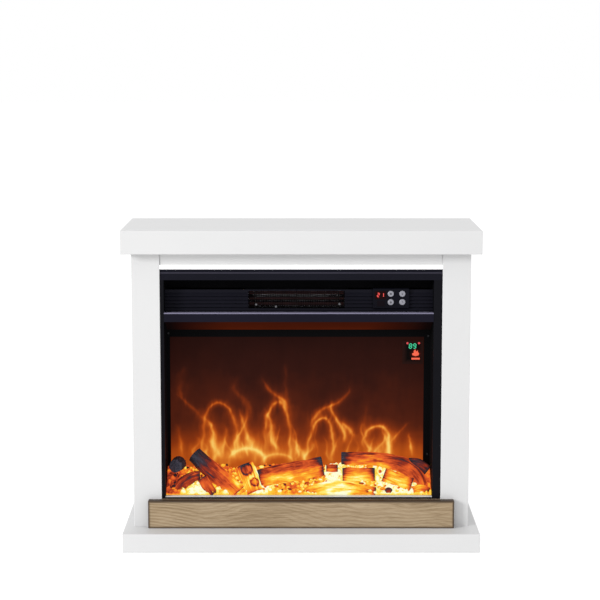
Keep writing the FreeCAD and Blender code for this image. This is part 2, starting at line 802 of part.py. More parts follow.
def make_blower_wheel():
    """Cross-flow wheel: shaft, two end discs and a ring of long blades."""
    body = new_body("blower_wheel")
    axis = ("dims.blower_depth", "dims.blower_height")
    start = "dims.duct_left - dims.sheet_metal - dims.bush_length + 1"
    sketch = new_sketch(body, "YZ_Plane", start)
    circle(sketch, *axis, "dims.shaft_radius")
    pad(body, sketch, f"dims.duct_right + 12 - ({start})")
    for place in ("dims.blower_left", "dims.blower_right - 2"):
        disc = new_sketch(body, "YZ_Plane", place)
        circle(disc, *axis, "dims.blower_radius")
        pad(body, disc, "2")
    blades = new_sketch(body, "YZ_Plane", "dims.blower_left")
    outer, inner = "(dims.blower_radius - 0.5)", "(dims.blower_radius - dims.blade_depth)"
    for index in range(DIMENSIONS["blade_count"]):
        turn = f"{index} * 360deg / {DIMENSIONS['blade_count']}"
        lean = f"({turn} + 14deg)"
        across = f"dims.blade_thickness/2 * sin({turn})"
        up = f"dims.blade_thickness/2 * cos({turn})"
        corners = [
            (f"{axis[0]} + {inner} * cos({turn}) + {across}", f"{axis[1]} + {inner} * sin({turn}) - {up}"),
            (f"{axis[0]} + {outer} * cos({lean}) + {across}", f"{axis[1]} + {outer} * sin({lean}) - {up}"),
            (f"{axis[0]} + {outer} * cos({lean}) - {across}", f"{axis[1]} + {outer} * sin({lean}) + {up}"),
            (f"{axis[0]} + {inner} * cos({turn}) - {across}", f"{axis[1]} + {inner} * sin({turn}) + {up}"),
        ]
        outline(blades, corners)
    pad(body, blades, "dims.blower_right - dims.blower_left")


def make_blower_scroll():
    """Housing round the wheel: open to the duct in front, air inlet slot at the back."""
    wall = "dims.sheet_metal"
    depth, height, radius = "dims.blower_depth", "dims.blower_height", "dims.scroll_radius"
    left, right = f"dims.duct_left - {wall}", f"dims.duct_right + {wall}"
    span = f"{right} - ({left})"
    outer_round = rod("scroll_outer", (left, depth, height), "x", radius, span)
    low = (left, "dims.duct_back", f"{height} - {radius}")
    outer_box = block("scroll_outer_box", low, (right, depth, f"{height} + {radius}"))
    inner_left = f"{left} + {wall}"
    inner_span = f"{span} - 2 * {wall}"
    inner_round = rod("scroll_inner", (inner_left, depth, height), "x", f"{radius} - {wall}", inner_span)
    low = (inner_left, f"dims.duct_back + {wall}", f"{height} - {radius} + {wall}")
    high = (f"{right} - {wall}", depth, f"{height} + {radius} - {wall}")
    inner_box = block("scroll_inner_box", low, high)
    low = (inner_left, "dims.duct_back - 1", f"{height} - {radius} + {wall}")
    mouth = block("scroll_mouth", low, (f"{right} - {wall}", depth, "dims.duct_top - 1"))
    low = ("dims.blower_left", f"{depth} + 20", f"{height} - 12")
    inlet = block("scroll_inlet", low, ("dims.blower_right", f"{depth} + 40", f"{height} + 12"))
    shaft = rod("scroll_shaft", (f"{left} - 1", depth, height), "x", "dims.shaft_radius + 0.6", f"{span} + 2")
    hollow = fused("scroll_hollow", [inner_round, inner_box, mouth, inlet, shaft])
    shell = fused("scroll_shell", [outer_round, outer_box])
    node("blower_scroll", cut("blower_scroll", shell, hollow))


def make_motors_and_bushes():
    depth, height = "dims.blower_depth", "dims.blower_height"
    start = "dims.duct_right + dims.sheet_metal"
    base = (start, depth, height)
    can = rod("blower_can", base, "x", "dims.blower_motor_radius", "dims.blower_motor_length")
    bore = rod("blower_bore", (f"{start} - 1", depth, height), "x", SHAFT_HOLE, "14")
    node("blower_motor", cut("blower_motor", can, bore))
    depth, height = "dims.rotor_depth", "dims.rotor_height"
    start = "dims.rotor_right - 8"
    base = (start, depth, height)
    can = rod("flame_can", base, "x", "dims.flame_motor_radius", "dims.flame_motor_length")
    boss_start = f"{start} + dims.flame_motor_length"
    boss = rod("flame_boss", (boss_start, depth, height), "x", "10", f"{INNER_RIGHT} - ({boss_start})")
    bore = rod("flame_bore", (f"{start} - 1", depth, height), "x", SHAFT_HOLE, "11")
    node("flame_motor", cut("flame_motor", fused("flame_body", [can, boss]), bore))
    places = (
        ("dims.duct_left - dims.sheet_metal - dims.bush_length", "dims.blower_depth", "dims.blower_height"),
        (INNER_LEFT, "dims.rotor_depth", "dims.rotor_height"),
    )
    rings = []
    for base in places:
        ring = rod("bush_ring", base, "x", "dims.bush_radius", "dims.bush_length")
        hole = rod("bush_hole", (f"{base[0]} - 1",) + base[1:], "x", SHAFT_HOLE, "dims.bush_length + 2")
        rings.append(cut("bush", ring, hole))
    node("shaft_bushes", group("shaft_bushes", rings))


# ---- Flame effect ---------------------------------------------------------------------------


def make_flame_rotor():
    """Slow shaft with reflective paddles, alternately flat and upright."""
    body = new_body("flame_rotor")
    axis = ("dims.rotor_depth", "dims.rotor_height")
    sketch = new_sketch(body, "YZ_Plane", "dims.rotor_left")
    circle(sketch, *axis, "dims.shaft_radius")
    pad(body, sketch, "dims.rotor_right - dims.rotor_left")
    half = "dims.paddle_thickness/2"
    sizes = (("dims.paddle_radius", half), (half, "dims.paddle_radius"))
    for index, (across, up) in enumerate(sizes):
        start = f"dims.rotor_left + 34 + {index} * dims.paddle_pitch"
        paddle = new_sketch(body, "YZ_Plane", start)
        sides = [f"{axis[0]} - {across}", f"{axis[1]} - {up}", f"{axis[0]} + {across}", f"{axis[1]} + {up}"]
        rectangle(paddle, *sides)
        blade = pad(body, paddle, "dims.paddle_length")
        span = "(dims.paddle_count - 1) * 2 * dims.paddle_pitch"
        repeated(body, blade, "X_Axis", span, "dims.paddle_count")


def make_stencil():
    """Steel sheet with tapering flame-shaped cut-outs that shapes the moving light."""
    body = new_body("flame_stencil")
    sketch = new_sketch(body, "XZ_Plane", "dims.stencil_depth + 1")
    floor = f"{INSERT_BASE} + dims.sheet_metal"
    rectangle(sketch, INNER_LEFT, floor, INNER_RIGHT, "dims.screen_frame_top")
    tongues = 7
    for index in range(tongues):
        middle = f"(dims.screen_left + {index + 0.5} * (dims.screen_right - dims.screen_left)/{tongues})"
        tip = 380 - 40 * (index % 3)
        corners = [
            (f"{middle} - 18", "150"),
            (f"{middle} + 18", "150"),
            (f"{middle} + 24", "210"),
            (f"{middle} + 6", f"{tip}"),
            (f"{middle} - 22", "230"),
        ]
        outline(sketch, corners)
    pad(body, sketch, "1")


def make_light_boards():
    """Light strips: one behind the rotor for the flames, one under the ember bed."""
    thick = "dims.light_board_thickness"
    low = ("-270", "dims.case_back - 12", "130")
    strip = block("flame_strip", low, ("170", f"dims.case_back - 12 + {thick}", "166"))
    low = ("-260", "-62", f"{INSERT_BASE} + dims.sheet_metal")
    embers = block("ember_strip", low, ("250", "-30", f"{INSERT_BASE} + dims.sheet_metal + {thick}"))
    node("flame_light_board", strip)
    node("ember_light_board", embers)


# ---- Controls and electrics -----------------------------------------------------------------


def button_places():
    """Name and centre of each button, seen from the front."""
    return {
        "power_button": ("dims.button_left", "dims.button_high"),
        "heat_button": ("dims.button_right", "dims.button_high"),
        "flame_button": ("dims.button_left", "dims.button_low"),
        "timer_button": ("dims.button_right", "dims.button_low"),
    }


def make_control_panel():
    """Shallow housing with a front wall, button holes and two windows."""
    body = new_body("control_panel")
    back = "dims.control_front + dims.control_depth"
    sketch = new_sketch(body, "XZ_Plane", back)
    rectangle(sketch, "dims.control_left", "dims.control_bottom", "dims.control_right", "dims.control_top")
    pad(body, sketch, "dims.control_depth")
    front = number("dims.control_front")
    round_edges(body, "1", lambda edge: abs(edge.CenterOfMass.y - front) < 0.01)
    hollow = new_sketch(body, "XZ_Plane", "dims.control_front + dims.control_wall")
    wall = "1.6"
    inset = [f"dims.control_left + {wall}", f"dims.control_bottom + {wall}"]
    inset += [f"dims.control_right - {wall}", f"dims.control_top - {wall}"]
    rectangle(hollow, *inset)
    pocket(body, hollow, "dims.control_depth - dims.control_wall")
    holes = new_sketch(body, "XZ_Plane", "dims.control_front")
    for across, up in button_places().values():
        circle(holes, across, up, "dims.button_radius + dims.button_gap")
    for name in ("window", "infrared"):
        rectangle(holes, *[f"dims.{name}_{side}" for side in ("left", "bottom", "right", "top")])
    pocket(body, holes, "dims.control_wall")


def make_lenses():
    for label, name in (("display_lens", "window"), ("ir_window", "infrared")):
        gap = "dims.lens_gap"
        front = "dims.control_front + 0.3"
        low = (f"dims.{name}_left + {gap}", front, f"dims.{name}_bottom + {gap}")
        high = (f"dims.{name}_right - {gap}", "dims.control_front + 2.6", f"dims.{name}_top - {gap}")
        node(label, block(label, low, high))


def make_button(label, across, up):
    """Round cap with a rounded face and a flange that keeps it behind the panel."""
    body = new_body(label)
    back = "(dims.control_front + dims.control_wall + 1.3)"
    flange = new_sketch(body, "XZ_Plane", back)
    circle(flange, across, up, "dims.button_flange")
    pad(body, flange, "1")
    cap = new_sketch(body, "XZ_Plane", back)
    circle(cap, across, up, "dims.button_radius")
    pad(body, cap, f"{back} - dims.control_front + dims.button_proud")
    front = number("dims.control_front - dims.button_proud")
    round_edges(body, "dims.button_round", lambda edge: abs(edge.CenterOfMass.y - front) < 0.01)


def make_control_board():
    """Circuit board behind the buttons with their switches, the digit module and the receiver."""
    low = ("dims.control_left + 3", "dims.board_depth", "dims.control_bottom + 3")
    high = ("dims.control_right - 3", "dims.board_depth + 1.6", "dims.control_top - 3")
    pieces = [block("board", low, high)]
    for across, up in button_places().values():
        pieces.append(rod("switch", (across, "dims.board_depth - 5.8", up), "y", "2", "6"))
    for name in ("window", "infrared"):
        low = (f"dims.{name}_left + 1", "dims.control_front + 3.4", f"dims.{name}_bottom + 1")
        high = (f"dims.{name}_right - 1", "dims.board_depth", f"dims.{name}_top - 1")
        pieces.append(block("module", low, high))
    node("control_board", fused("control_board", pieces))


def make_power_board():
    """Mains board on the divider shelf: relays, transformer, capacitor and terminals."""
    top = "dims.divider_top + 7"
    pieces = [block("mains_board", ("150", "-10", "dims.divider_top + 5.4"), ("262", "74", top))]
    for x, y in ((154, -6), (256, -6), (154, 68), (256, 68)):
        pieces.append(rod("standoff", (f"{x}", f"{y}", "dims.divider_top"), "z", "3", "6"))
    boxes = ((158, 6, 26, 16, 16), (158, 30, 26, 16, 16), (200, 4, 32, 28, 27), (196, 52, 44, 14, 14))
    for x, y, width, depth, height in boxes:
        high = (f"{x + width}", f"{y + depth}", f"{top} + {height}")
        pieces.append(block("component", (f"{x}", f"{y}", f"{top} - 0.5"), high))
    pieces.append(rod("capacitor", ("248", "40", f"{top} - 0.5"), "z", "8", "24"))
    node("power_board", fused("power_board", pieces))


def make_cable_gland():
    """Gland through the rear cover: nut inside, flange and tapered nose outside, open bore."""
    x, z = "dims.gland_x", "dims.gland_height"
    outside = "(dims.case_back + dims.sheet_metal)"
    inner = f"{outside} - dims.gland_start"
    barrel = rod("gland_barrel", (x, "dims.gland_start", z), "y", "dims.gland_barrel", inner)
    nut = rod("gland_nut", (x, "dims.case_back - 5", z), "y", "dims.gland_barrel + 3", "5")
    flange = rod("gland_flange", (x, outside, z), "y", "dims.gland_flange", "5")
    nose_start = f"({outside} + 5)"
    reach = f"dims.gland_end - {nose_start}"
    nose = cone("gland_nose", (x, nose_start, z), "dims.gland_barrel + 2", "6.5", reach)
    body = fused("gland_body", [barrel, nut, flange, nose])
    length = "dims.gland_end - dims.gland_start + 2"
    bore = rod("gland_hole", (x, "dims.gland_start - 1", z), "y", "dims.gland_bore", length)
    node("cable_gland", cut("cable_gland", body, bore))


# ---- Fasteners ------------------------------------------------------------------------------


def make_screws():
    heads = []
    face = "dims.case_back + dims.sheet_metal"
    middle = "(dims.case_left + dims.case_right)/2"
    large = ("y", "dims.screw_radius", "dims.screw_height")
    for across in ("dims.case_left + 12", middle, "dims.case_right - 12"):
        for up in (f"{INSERT_BASE} + 12", f"({INSERT_BASE} + dims.case_top)/2", "dims.case_top - 9"):
            heads.append(rod("rear_screw", (across, face, up), *large))
    node("rear_cover_screws", group("rear_cover_screws", heads))
    small = ("y", "dims.small_screw_radius", "dims.small_screw_height")
    heads = []
    left, edge = "dims.outlet_left", "dims.outlet_right"
    for x, z in ((f"{left} + 17", 520.5), (f"{left} + 59", 516), (f"{edge} - 11", 521.5)):
        base = (x, "dims.mesh_front - dims.small_screw_height", f"{z}")
        heads.append(rod("mesh_screw", base, *small))
    right = "(dims.screen_right + 9)"
    top = "dims.screen_top"
    for x, z in ((right, f"{top} + 2"), (right, "180"), ("dims.screen_left - 3", f"{top} + 8")):
        base = (x, "dims.screen_front - dims.small_screw_height", z)
        heads.append(rod("frame_screw", base, *small))
    node("front_screws", group("front_screws", heads))


# ---- Logs and embers ------------------------------------------------------------------------


def make_ember_bed():
    corners = [
        ("dims.bed_front", "dims.bed_bottom"),
        ("dims.bed_back", "dims.bed_bottom"),
        ("dims.bed_back", "dims.bed_back_top"),
        ("dims.bed_middle", "dims.bed_middle_top"),
        ("dims.bed_front", "dims.bed_front_top"),
    ]
    profile_along_x("ember_bed", corners, f"{INNER_LEFT} + 0.5", f"{INNER_RIGHT} - 0.5")


def make_log(name):
    """Round billet between its two end points."""
    start = Vector(*[number(f"dims.{name}_start_{axis}") for axis in "xyz"])
    end = Vector(*[number(f"dims.{name}_end_{axis}") for axis in "xyz"])
    spans = [f"(dims.{name}_end_{axis} - dims.{name}_start_{axis})^2" for axis in "xyz"]
    solid = DOC.addObject("Part::Cylinder", name)
    solid.Placement = FreeCAD.Placement(Vector(), FreeCAD.Rotation(Vector(0, 0, 1), end - start))
    solid.setExpression("Radius", f"dims.{name}_radius")
    solid.setExpression("Height", f"sqrt({' + '.join(spans)})")
    for axis in "xyz":
        solid.setExpression(f"Placement.Base.{axis}", f"dims.{name}_start_{axis}")
    node(name, solid)


def make_log_pieces():
    pieces = []
    for name in LOG_PIECES:
        low = [f"dims.{name}_{axis}" for axis in "xyz"]
        high = [f"dims.{name}_{axis} + dims.{name}_size_{axis}" for axis in "xyz"]
        pieces.append(block(name, low, high))
    node("log_pieces", group("log_pieces", pieces))


# ---- Build, check and write -----------------------------------------------------------------


def build():
    fill_sheet()
    make_mantel()
    make_leg("left_leg", "-1 * ")
    make_leg("right_leg", "")
    make_hearth()
    make_glides()
    make_frieze_and_trim()
    make_plinth()
    make_carcass_fittings()
    make_case()
    make_rear_cover()
    make_front_frame()
    make_top_bezel()
    make_crossbar()
    make_sill_trim()
    make_louvre_panel()
    make_heater_mesh()
    make_inner_panels()
    make_screen()
    make_duct()
    make_element()
    make_blower_wheel()
    make_blower_scroll()
    make_motors_and_bushes()
    make_flame_rotor()
    make_stencil()
    make_light_boards()
    make_control_panel()
    make_lenses()
    for name, place in button_places().items():
        make_button(name, *place)
    make_control_board()
    make_power_board()
    make_cable_gland()
    make_screws()
    make_ember_bed()
    for name in LOGS:
        make_log(name)
    make_log_pieces()
    DOC.recompute()


def check():
    """Stop if any object failed or any sub-part's shape is missing or broken."""
    for item in DOC.Objects:
        if "Invalid" in item.State or "Error" in item.State:
            raise RuntimeError(f"{item.Label} failed: {item.State}")
    for label, item in NODES.items():
        if item.Shape.isNull() or not item.Shape.isValid() or not item.Shape.Solids:
            raise RuntimeError(f"{label} has no valid solid")


def write():
    os.makedirs("parts", exist_ok=True)
    for label, item in NODES.items():
        item.Shape.exportStep(f"parts/{label}.step")
    print(len(NODES), "sub-parts written")


build()
check()
write()
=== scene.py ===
import math

import bmesh
import bpy
import numpy as np
from mathutils import Matrix, Vector, noise


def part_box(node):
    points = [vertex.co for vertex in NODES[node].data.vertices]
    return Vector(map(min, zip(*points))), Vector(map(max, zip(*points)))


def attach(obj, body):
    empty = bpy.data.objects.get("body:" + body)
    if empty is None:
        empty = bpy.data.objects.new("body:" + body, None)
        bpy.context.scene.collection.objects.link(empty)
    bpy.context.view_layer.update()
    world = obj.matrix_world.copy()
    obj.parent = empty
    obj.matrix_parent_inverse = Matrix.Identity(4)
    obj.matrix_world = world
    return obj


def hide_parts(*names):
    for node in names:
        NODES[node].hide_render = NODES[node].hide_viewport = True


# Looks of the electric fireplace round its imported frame: lacquer, oak and steel materials, the lit flame
# screen, sculpted logs, the ember mound, digits and symbols, studio light and camera. Metres.

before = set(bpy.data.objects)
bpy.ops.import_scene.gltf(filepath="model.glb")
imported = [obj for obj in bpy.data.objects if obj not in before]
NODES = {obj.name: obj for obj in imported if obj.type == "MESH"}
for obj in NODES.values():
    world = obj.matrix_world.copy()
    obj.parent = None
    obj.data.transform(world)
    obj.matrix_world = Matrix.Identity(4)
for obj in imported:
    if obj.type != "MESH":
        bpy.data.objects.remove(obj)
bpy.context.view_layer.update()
BODY = "fireplace"
MM = 0.001


# ---- Camera ----

CAMERA_DISTANCE = 3.62
CAMERA_HEIGHT = 1.062
CAMERA_SIDE = -0.0024
CAMERA_PITCH = math.radians(7.5)
CAMERA_LENS = 101.0
CAMERA_SHIFT = -0.0485


def make_camera():
    data = bpy.data.cameras.new("camera")
    data.lens = CAMERA_LENS
    data.shift_y = CAMERA_SHIFT
    data.clip_start, data.clip_end = 0.1, 50
    camera = bpy.data.objects.new("camera", data)
    bpy.context.scene.collection.objects.link(camera)
    camera.location = (CAMERA_SIDE, -CAMERA_DISTANCE, CAMERA_HEIGHT)
    camera.rotation_euler = (math.pi / 2 - CAMERA_PITCH, 0, 0)
    bpy.context.scene.camera = camera


# ---- Studio ----

HORIZON_LIGHT = 1.0
ZENITH_LIGHT = 1.04
KEY_PLACE = (-7.4, -5.2, 3.2)
KEY_SIZE = 2.1
KEY_POWER = 560
FLOOR_SIZE = 60
KEY_TARGET = (0, 0, 0.35)
FLOOR_PAINT = (0.95, 0.95, 0.95)
FLOOR_LIGHT = 1.12
FLOOR_LIT_SHARE = 0.75


def make_sky():
    world = bpy.data.worlds.new("studio")
    bpy.context.scene.world = world
    tree = Nodes("studio", world)
    view = tree.node("ShaderNodeTexCoord").outputs["Generated"]
    up = tree.node("ShaderNodeSeparateXYZ", {0: view}).outputs["Z"]
    strength = tree.spread(up, 0.1, 0.9, HORIZON_LIGHT, ZENITH_LIGHT)
    background = tree.node("ShaderNodeBackground", {"Color": (1, 1, 1), "Strength": strength})
    tree.finish(background.outputs[0], "ShaderNodeOutputWorld")
    bpy.context.scene.view_settings.view_transform = "Standard"


def make_key_light():
    lamp = bpy.data.lights.new("key", "AREA")
    lamp.size = KEY_SIZE
    lamp.energy = KEY_POWER
    key = bpy.data.objects.new("key", lamp)
    bpy.context.scene.collection.objects.link(key)
    key.location = KEY_PLACE
    key.rotation_euler = (Vector(KEY_TARGET) - key.location).to_track_quat("-Z", "Y").to_euler()


def make_floor():
    """Plain white floor that also gives light of its own, so that it stays white under the object."""
    bpy.ops.mesh.primitive_plane_add(size=FLOOR_SIZE)
    floor = bpy.context.object
    floor.name = "floor"
    tree = Nodes("floor_paper")
    paint = tree.node("ShaderNodeBsdfDiffuse", {"Color": FLOOR_PAINT})
    light = tree.node("ShaderNodeEmission", {"Color": (1, 1, 1), "Strength": FLOOR_LIGHT})
    mix = tree.node("ShaderNodeMixShader", {0: FLOOR_LIT_SHARE, 1: paint.outputs[0], 2: light.outputs[0]})
    tree.finish(mix.outputs[0])
    floor.data.materials.append(tree.owner)


# ---- Material helpers ----


class Nodes:
    """Node tree of a material, or of the world, with short calls to add, set and link nodes."""

    def __init__(self, name, world=None):
        self.owner = world or bpy.data.materials.new(name)
        self.owner.use_nodes = True
        self.tree = self.owner.node_tree
        self.tree.nodes.clear()
        self.place = None

    def node(self, kind, inputs=None, **settings):
        """Add a node. Each input is linked to a socket or set to a plain value or RGB triple."""
        made = self.tree.nodes.new(kind)
        for key, value in settings.items():
            setattr(made, key, value)
        for key, value in (inputs or {}).items():
            socket = made.inputs[key]
            if isinstance(value, bpy.types.NodeSocket):
                self.tree.links.new(value, socket)
            elif value is not None:
                socket.default_value = (*value, 1) if socket.type == "RGBA" else value
        return made

    def finish(self, shader, kind="ShaderNodeOutputMaterial"):
        self.node(kind, {"Surface": shader})

    def coordinates(self, scale=(1, 1, 1)):
        """Object coordinates, stretched by scale."""
        if self.place is None:
            self.place = self.node("ShaderNodeTexCoord").outputs["Object"]
        return self.node("ShaderNodeMapping", {"Vector": self.place, "Scale": scale}).outputs["Vector"]

    def axes(self):
        """X, Y and Z of the object coordinates."""
        return tuple(self.node("ShaderNodeSeparateXYZ", {0: self.coordinates()}).outputs)

    def noise(self, size, scale=(1, 1, 1), detail=3.0, rough=0.55, distortion=0.0):
        """Noise value whose features measure about size metres."""
        inputs = {"Vector": self.coordinates(scale), "Scale": 1 / size, "Detail": detail}
        inputs |= {"Roughness": rough, "Distortion": distortion}
        return self.node("ShaderNodeTexNoise", inputs).outputs["Fac"]

    def math(self, operation, first, second=None, clamp=False):
        made = self.node("ShaderNodeMath", {0: first, 1: second}, operation=operation, use_clamp=clamp)
        return made.outputs[0]

    def add(self, first, second):
        return self.math("ADD", first, second)

    def minus(self, first, second):
        return self.math("SUBTRACT", first, second)

    def times(self, first, second):
        return self.math("MULTIPLY", first, second)

    def weigh(self, *parts):
        """Sum of (value, weight) pairs."""
        total = None
        for value, weight in parts:
            part = self.times(value, weight)
            total = part if total is None else self.add(total, part)
        return total

    def spread(self, value, low, high, out_low=0.0, out_high=1.0):
        """Map a value's range to another, clamped."""
        inputs = {"Value": value, "From Min": low, "From Max": high, "To Min": out_low, "To Max": out_high}
        return self.node("ShaderNodeMapRange", inputs).outputs["Result"]

    def between(self, noise_value, low, high):
        """Noise turned into a value from low to high."""
        return self.spread(noise_value, 0.3, 0.7, low, high)

    def ramp(self, value, stops):
        """Colour ramp through (place, colour) stops."""
        made = self.node("ShaderNodeValToRGB", {"Fac": value})
        bands = made.color_ramp.elements
        bands.remove(bands[1])
        bands[0].position = stops[0][0]
        bands[0].color = (*stops[0][1], 1)
        for place, colour in stops[1:]:
            bands.new(place).color = (*colour, 1)
        return made.outputs["Color"]

    def shades(self, noise_value, dark, light):
        """Noise turned into colours from dark to light."""
        return self.ramp(noise_value, ((0.3, dark), (0.7, light)))

    def mix(self, factor, first, second):
        """Blend two colours, each a socket or an RGB triple."""
        return self.node("ShaderNodeMix", {0: factor, 6: first, 7: second}, data_type="RGBA").outputs[2]

    def bump(self, height, strength, distance=0.0003):
        inputs = {"Height": height, "Strength": strength, "Distance": distance}
        return self.node("ShaderNodeBump", inputs).outputs["Normal"]

    def surface(self, colour, rough, normal=None, metal=0.0, specular=0.5, light=None, strength=1.0):
        """Principled surface from sockets or plain values, as the material's output."""
        inputs = {"Base Color": colour, "Roughness": rough, "Normal": normal}
        inputs |= {"Metallic": metal, "Specular IOR Level": specular}
        if light is not None:
            inputs |= {"Emission Color": light, "Emission Strength": strength}
        self.finish(self.node("ShaderNodeBsdfPrincipled", inputs).outputs[0])
        return self.owner


def wear_and_painted_highlight(name, colour, rough, spread, grain, bump, metal=0.0, specular=0.5, tones=(0.92, 1.08),
         scale=(1, 1, 1), depth=0.0004, line=None):
    """Surface whose colour and roughness drift slowly, over a fine grain in the relief. line is the height,
    half height and brightness of a painted highlight: a light band painted into the colour along an edge."""
    tree = Nodes(name)
    drift = tree.noise(0.12, detail=4)
    fine = tree.noise(grain, scale=scale, detail=2)
    dark, light = [tuple(channel * tone for channel in colour) for tone in tones]
    shade = tree.shades(tree.weigh((drift, 0.6), (fine, 0.4)), dark, light)
    if line is not None:
        # Painted highlight: a lighter band painted into the colour at the given height, in place of light on
        # an edge.
        height, half, highlight_level = line
        gap = tree.math("ABSOLUTE", tree.minus(tree.axes()[2], height))
        painted_highlight = tree.spread(gap, half * 0.5, half, 1.0, 0.0)
        shade = tree.mix(painted_highlight, shade, (highlight_level, highlight_level * 0.94, highlight_level * 1.35))
    roughness = tree.between(drift, rough - spread, rough + spread)
    return tree.surface(shade, roughness, tree.bump(fine, bump, depth), metal, specular)


# ---- Materials ----


def lacquer():
    """Satin white lacquer: a faint orange-peel relief and slow drift of gloss."""
    tree = Nodes("white_lacquer")
    drift = tree.noise(0.2, detail=3)
    peel = tree.noise(0.003, detail=1)
    shade = tree.shades(drift, (0.578, 0.578, 0.581), (0.592, 0.592, 0.592))
    rough = tree.between(drift, 0.38, 0.46)
    return tree.surface(shade, rough, tree.bump(peel, 0.05), specular=0.35)


def white_trim_painted_glow():
    tree = Nodes("bright_trim")
    drift = tree.noise(0.05)
    shade = tree.shades(drift, (0.93, 0.93, 0.93), (0.96, 0.96, 0.96))
    rough = tree.between(drift, 0.22, 0.3)
    relief = tree.bump(tree.noise(0.003, detail=1), 0.05)
    # Painted light: the white trim gives off a white glow of its own, so that it reads brighter than the
    # lacquer round it.
    return tree.surface(shade, rough, relief, specular=0.5, light=(1.0, 1.0, 1.0), strength=0.65)


def depth_inside(tree, place, low, high, reach):
    """0 at the walls of a box (given per axis as low and high) rising to 1 at reach inside it."""
    inside = None
    for value, start, end in zip(place, low, high):
        if start is None:
            continue
        for side in (tree.minus(value, start), tree.minus(end, value)):
            step = tree.spread(side, reach * 0.25, reach)
            inside = step if inside is None else tree.math("MINIMUM", inside, step)
    return inside


def oak():
    """Light oak with long wavy grain and pores; a dark brown edge all round the board's front, and dark brown
    on its other faces.
    """
    low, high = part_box("plinth_board")
    tree = Nodes("oak")
    wander = tree.noise(0.14, scale=(0.5, 1, 1), detail=2, rough=0.45)
    small = tree.noise(0.025, scale=(0.5, 1, 1), detail=3)
    place = tree.axes()
    shifted = tree.weigh((place[2], 1), (wander, 0.13), (small, 0.010), (place[1], 1))
    rings = tree.math("SINE", tree.times(shifted, 780.0))
    narrow = tree.math("SINE", tree.times(shifted, 2130.0))
    rings = tree.weigh((rings, 0.32), (narrow, 0.18))
    patch = tree.spread(tree.noise(0.07, scale=(0.3, 1, 1), detail=2), 0.3, 0.7, 0.0, 1.0)
    rings = tree.times(rings, patch)
    fibre = tree.noise(0.0022, scale=(0.05, 1, 1), detail=5, rough=0.75)
    pores = tree.spread(tree.noise(0.0013, scale=(0.06, 1, 1), detail=1), 0.60, 0.72)
    tone = tree.noise(0.11, scale=(0.4, 1, 1.6), detail=3)
    value = tree.weigh((rings, 0.28), (fibre, 0.62), (tone, 0.46))
    wood = tree.ramp(
        value,
        (
            (0.26, (0.150, 0.098, 0.050)),
            (0.42, (0.250, 0.177, 0.100)),
            (0.58, (0.340, 0.252, 0.154)),
            (0.76, (0.415, 0.320, 0.212)),
        ),
    )
    wood = tree.mix(tree.times(pores, 0.40), wood, (0.17, 0.11, 0.06))
    inside = depth_inside(tree, place, (low.x, None, low.z), (high.x, None, high.z), 0.0055)
    top_face = tree.spread(tree.minus(place[1], low.y), 0.001, 0.002, 1.0, 0.0)
    inside = tree.math("MINIMUM", inside, top_face)
    edge = tree.mix(fibre, (0.024, 0.014, 0.009), (0.085, 0.056, 0.034))
    shade = tree.mix(inside, edge, wood)
    relief = tree.bump(tree.add(rings, tree.times(fibre, 1.5)), 0.22, 0.0004)
    rough = tree.between(fibre, 0.5, 0.68)
    return tree.surface(shade, rough, relief, specular=0.25)


def raw_board():
    """Bare fibreboard: speckled with pressed fibres."""
    tree = Nodes("raw_board")
    fibre = tree.noise(0.002, detail=5, rough=0.7)
    drift = tree.noise(0.06)
    value = tree.weigh((fibre, 0.7), (drift, 0.3))
    shade = tree.ramp(value, ((0.35, (0.36, 0.25, 0.155)), (0.65, (0.52, 0.39, 0.26))))
    rough = tree.between(fibre, 0.80, 0.90)
    return tree.surface(shade, rough, tree.bump(fibre, 0.3, 0.0005), specular=0.2)


def black_steel(name, colour, rough=0.42, specular=0.1, line=None):
    """Powder-coated steel with a fine texture, and a painted highlight along an edge when line is given."""
    return wear_and_painted_highlight(name, colour, rough, 0.06, 0.0011, 0.12, 0.0, specular, (0.8, 1.25), depth=0.0003, line=line)


def case_paint_shaded_inside():
    """Black paint: satin outside the case; inside it a far darker, rougher black, a painted shade for the
    dark inside of the case.
    """
    low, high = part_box("case_shell")
    tree = Nodes("case_paint_shaded_inside")
    place = tree.axes()
    start = (low.x, low.y - 0.1, low.z)
    inside = depth_inside(tree, place, start, (high.x, high.y + 0.0004, high.z), 0.0008)
    drift = tree.noise(0.1, detail=3)
    grain = tree.noise(0.0012)
    outer = tree.shades(drift, (0.010, 0.010, 0.012), (0.017, 0.017, 0.020))
    # Painted shade: the inside of the case gets a far darker paint than the outside.
    painted_inner_shade = tree.shades(drift, (0.0012, 0.0012, 0.0016), (0.0025, 0.0024, 0.0032))
    shade = tree.mix(inside, outer, painted_inner_shade)
    rough = tree.spread(inside, 0.0, 1.0, 0.45, 0.9)
    return tree.surface(shade, rough, tree.bump(grain, 0.12), specular=0.05)


def zinc():
    return wear_and_painted_highlight("zinc_plate", (0.55, 0.56, 0.58), 0.36, 0.08, 0.003, 0.12, metal=0.9, tones=(0.85, 1.15))


def brushed(name, colour):
    """Steel brushed along X."""
    return wear_and_painted_highlight(name, colour, 0.3, 0.06, 0.0009, 0.2, metal=0.85, tones=(0.88, 1.12), scale=(0.03, 1, 1))


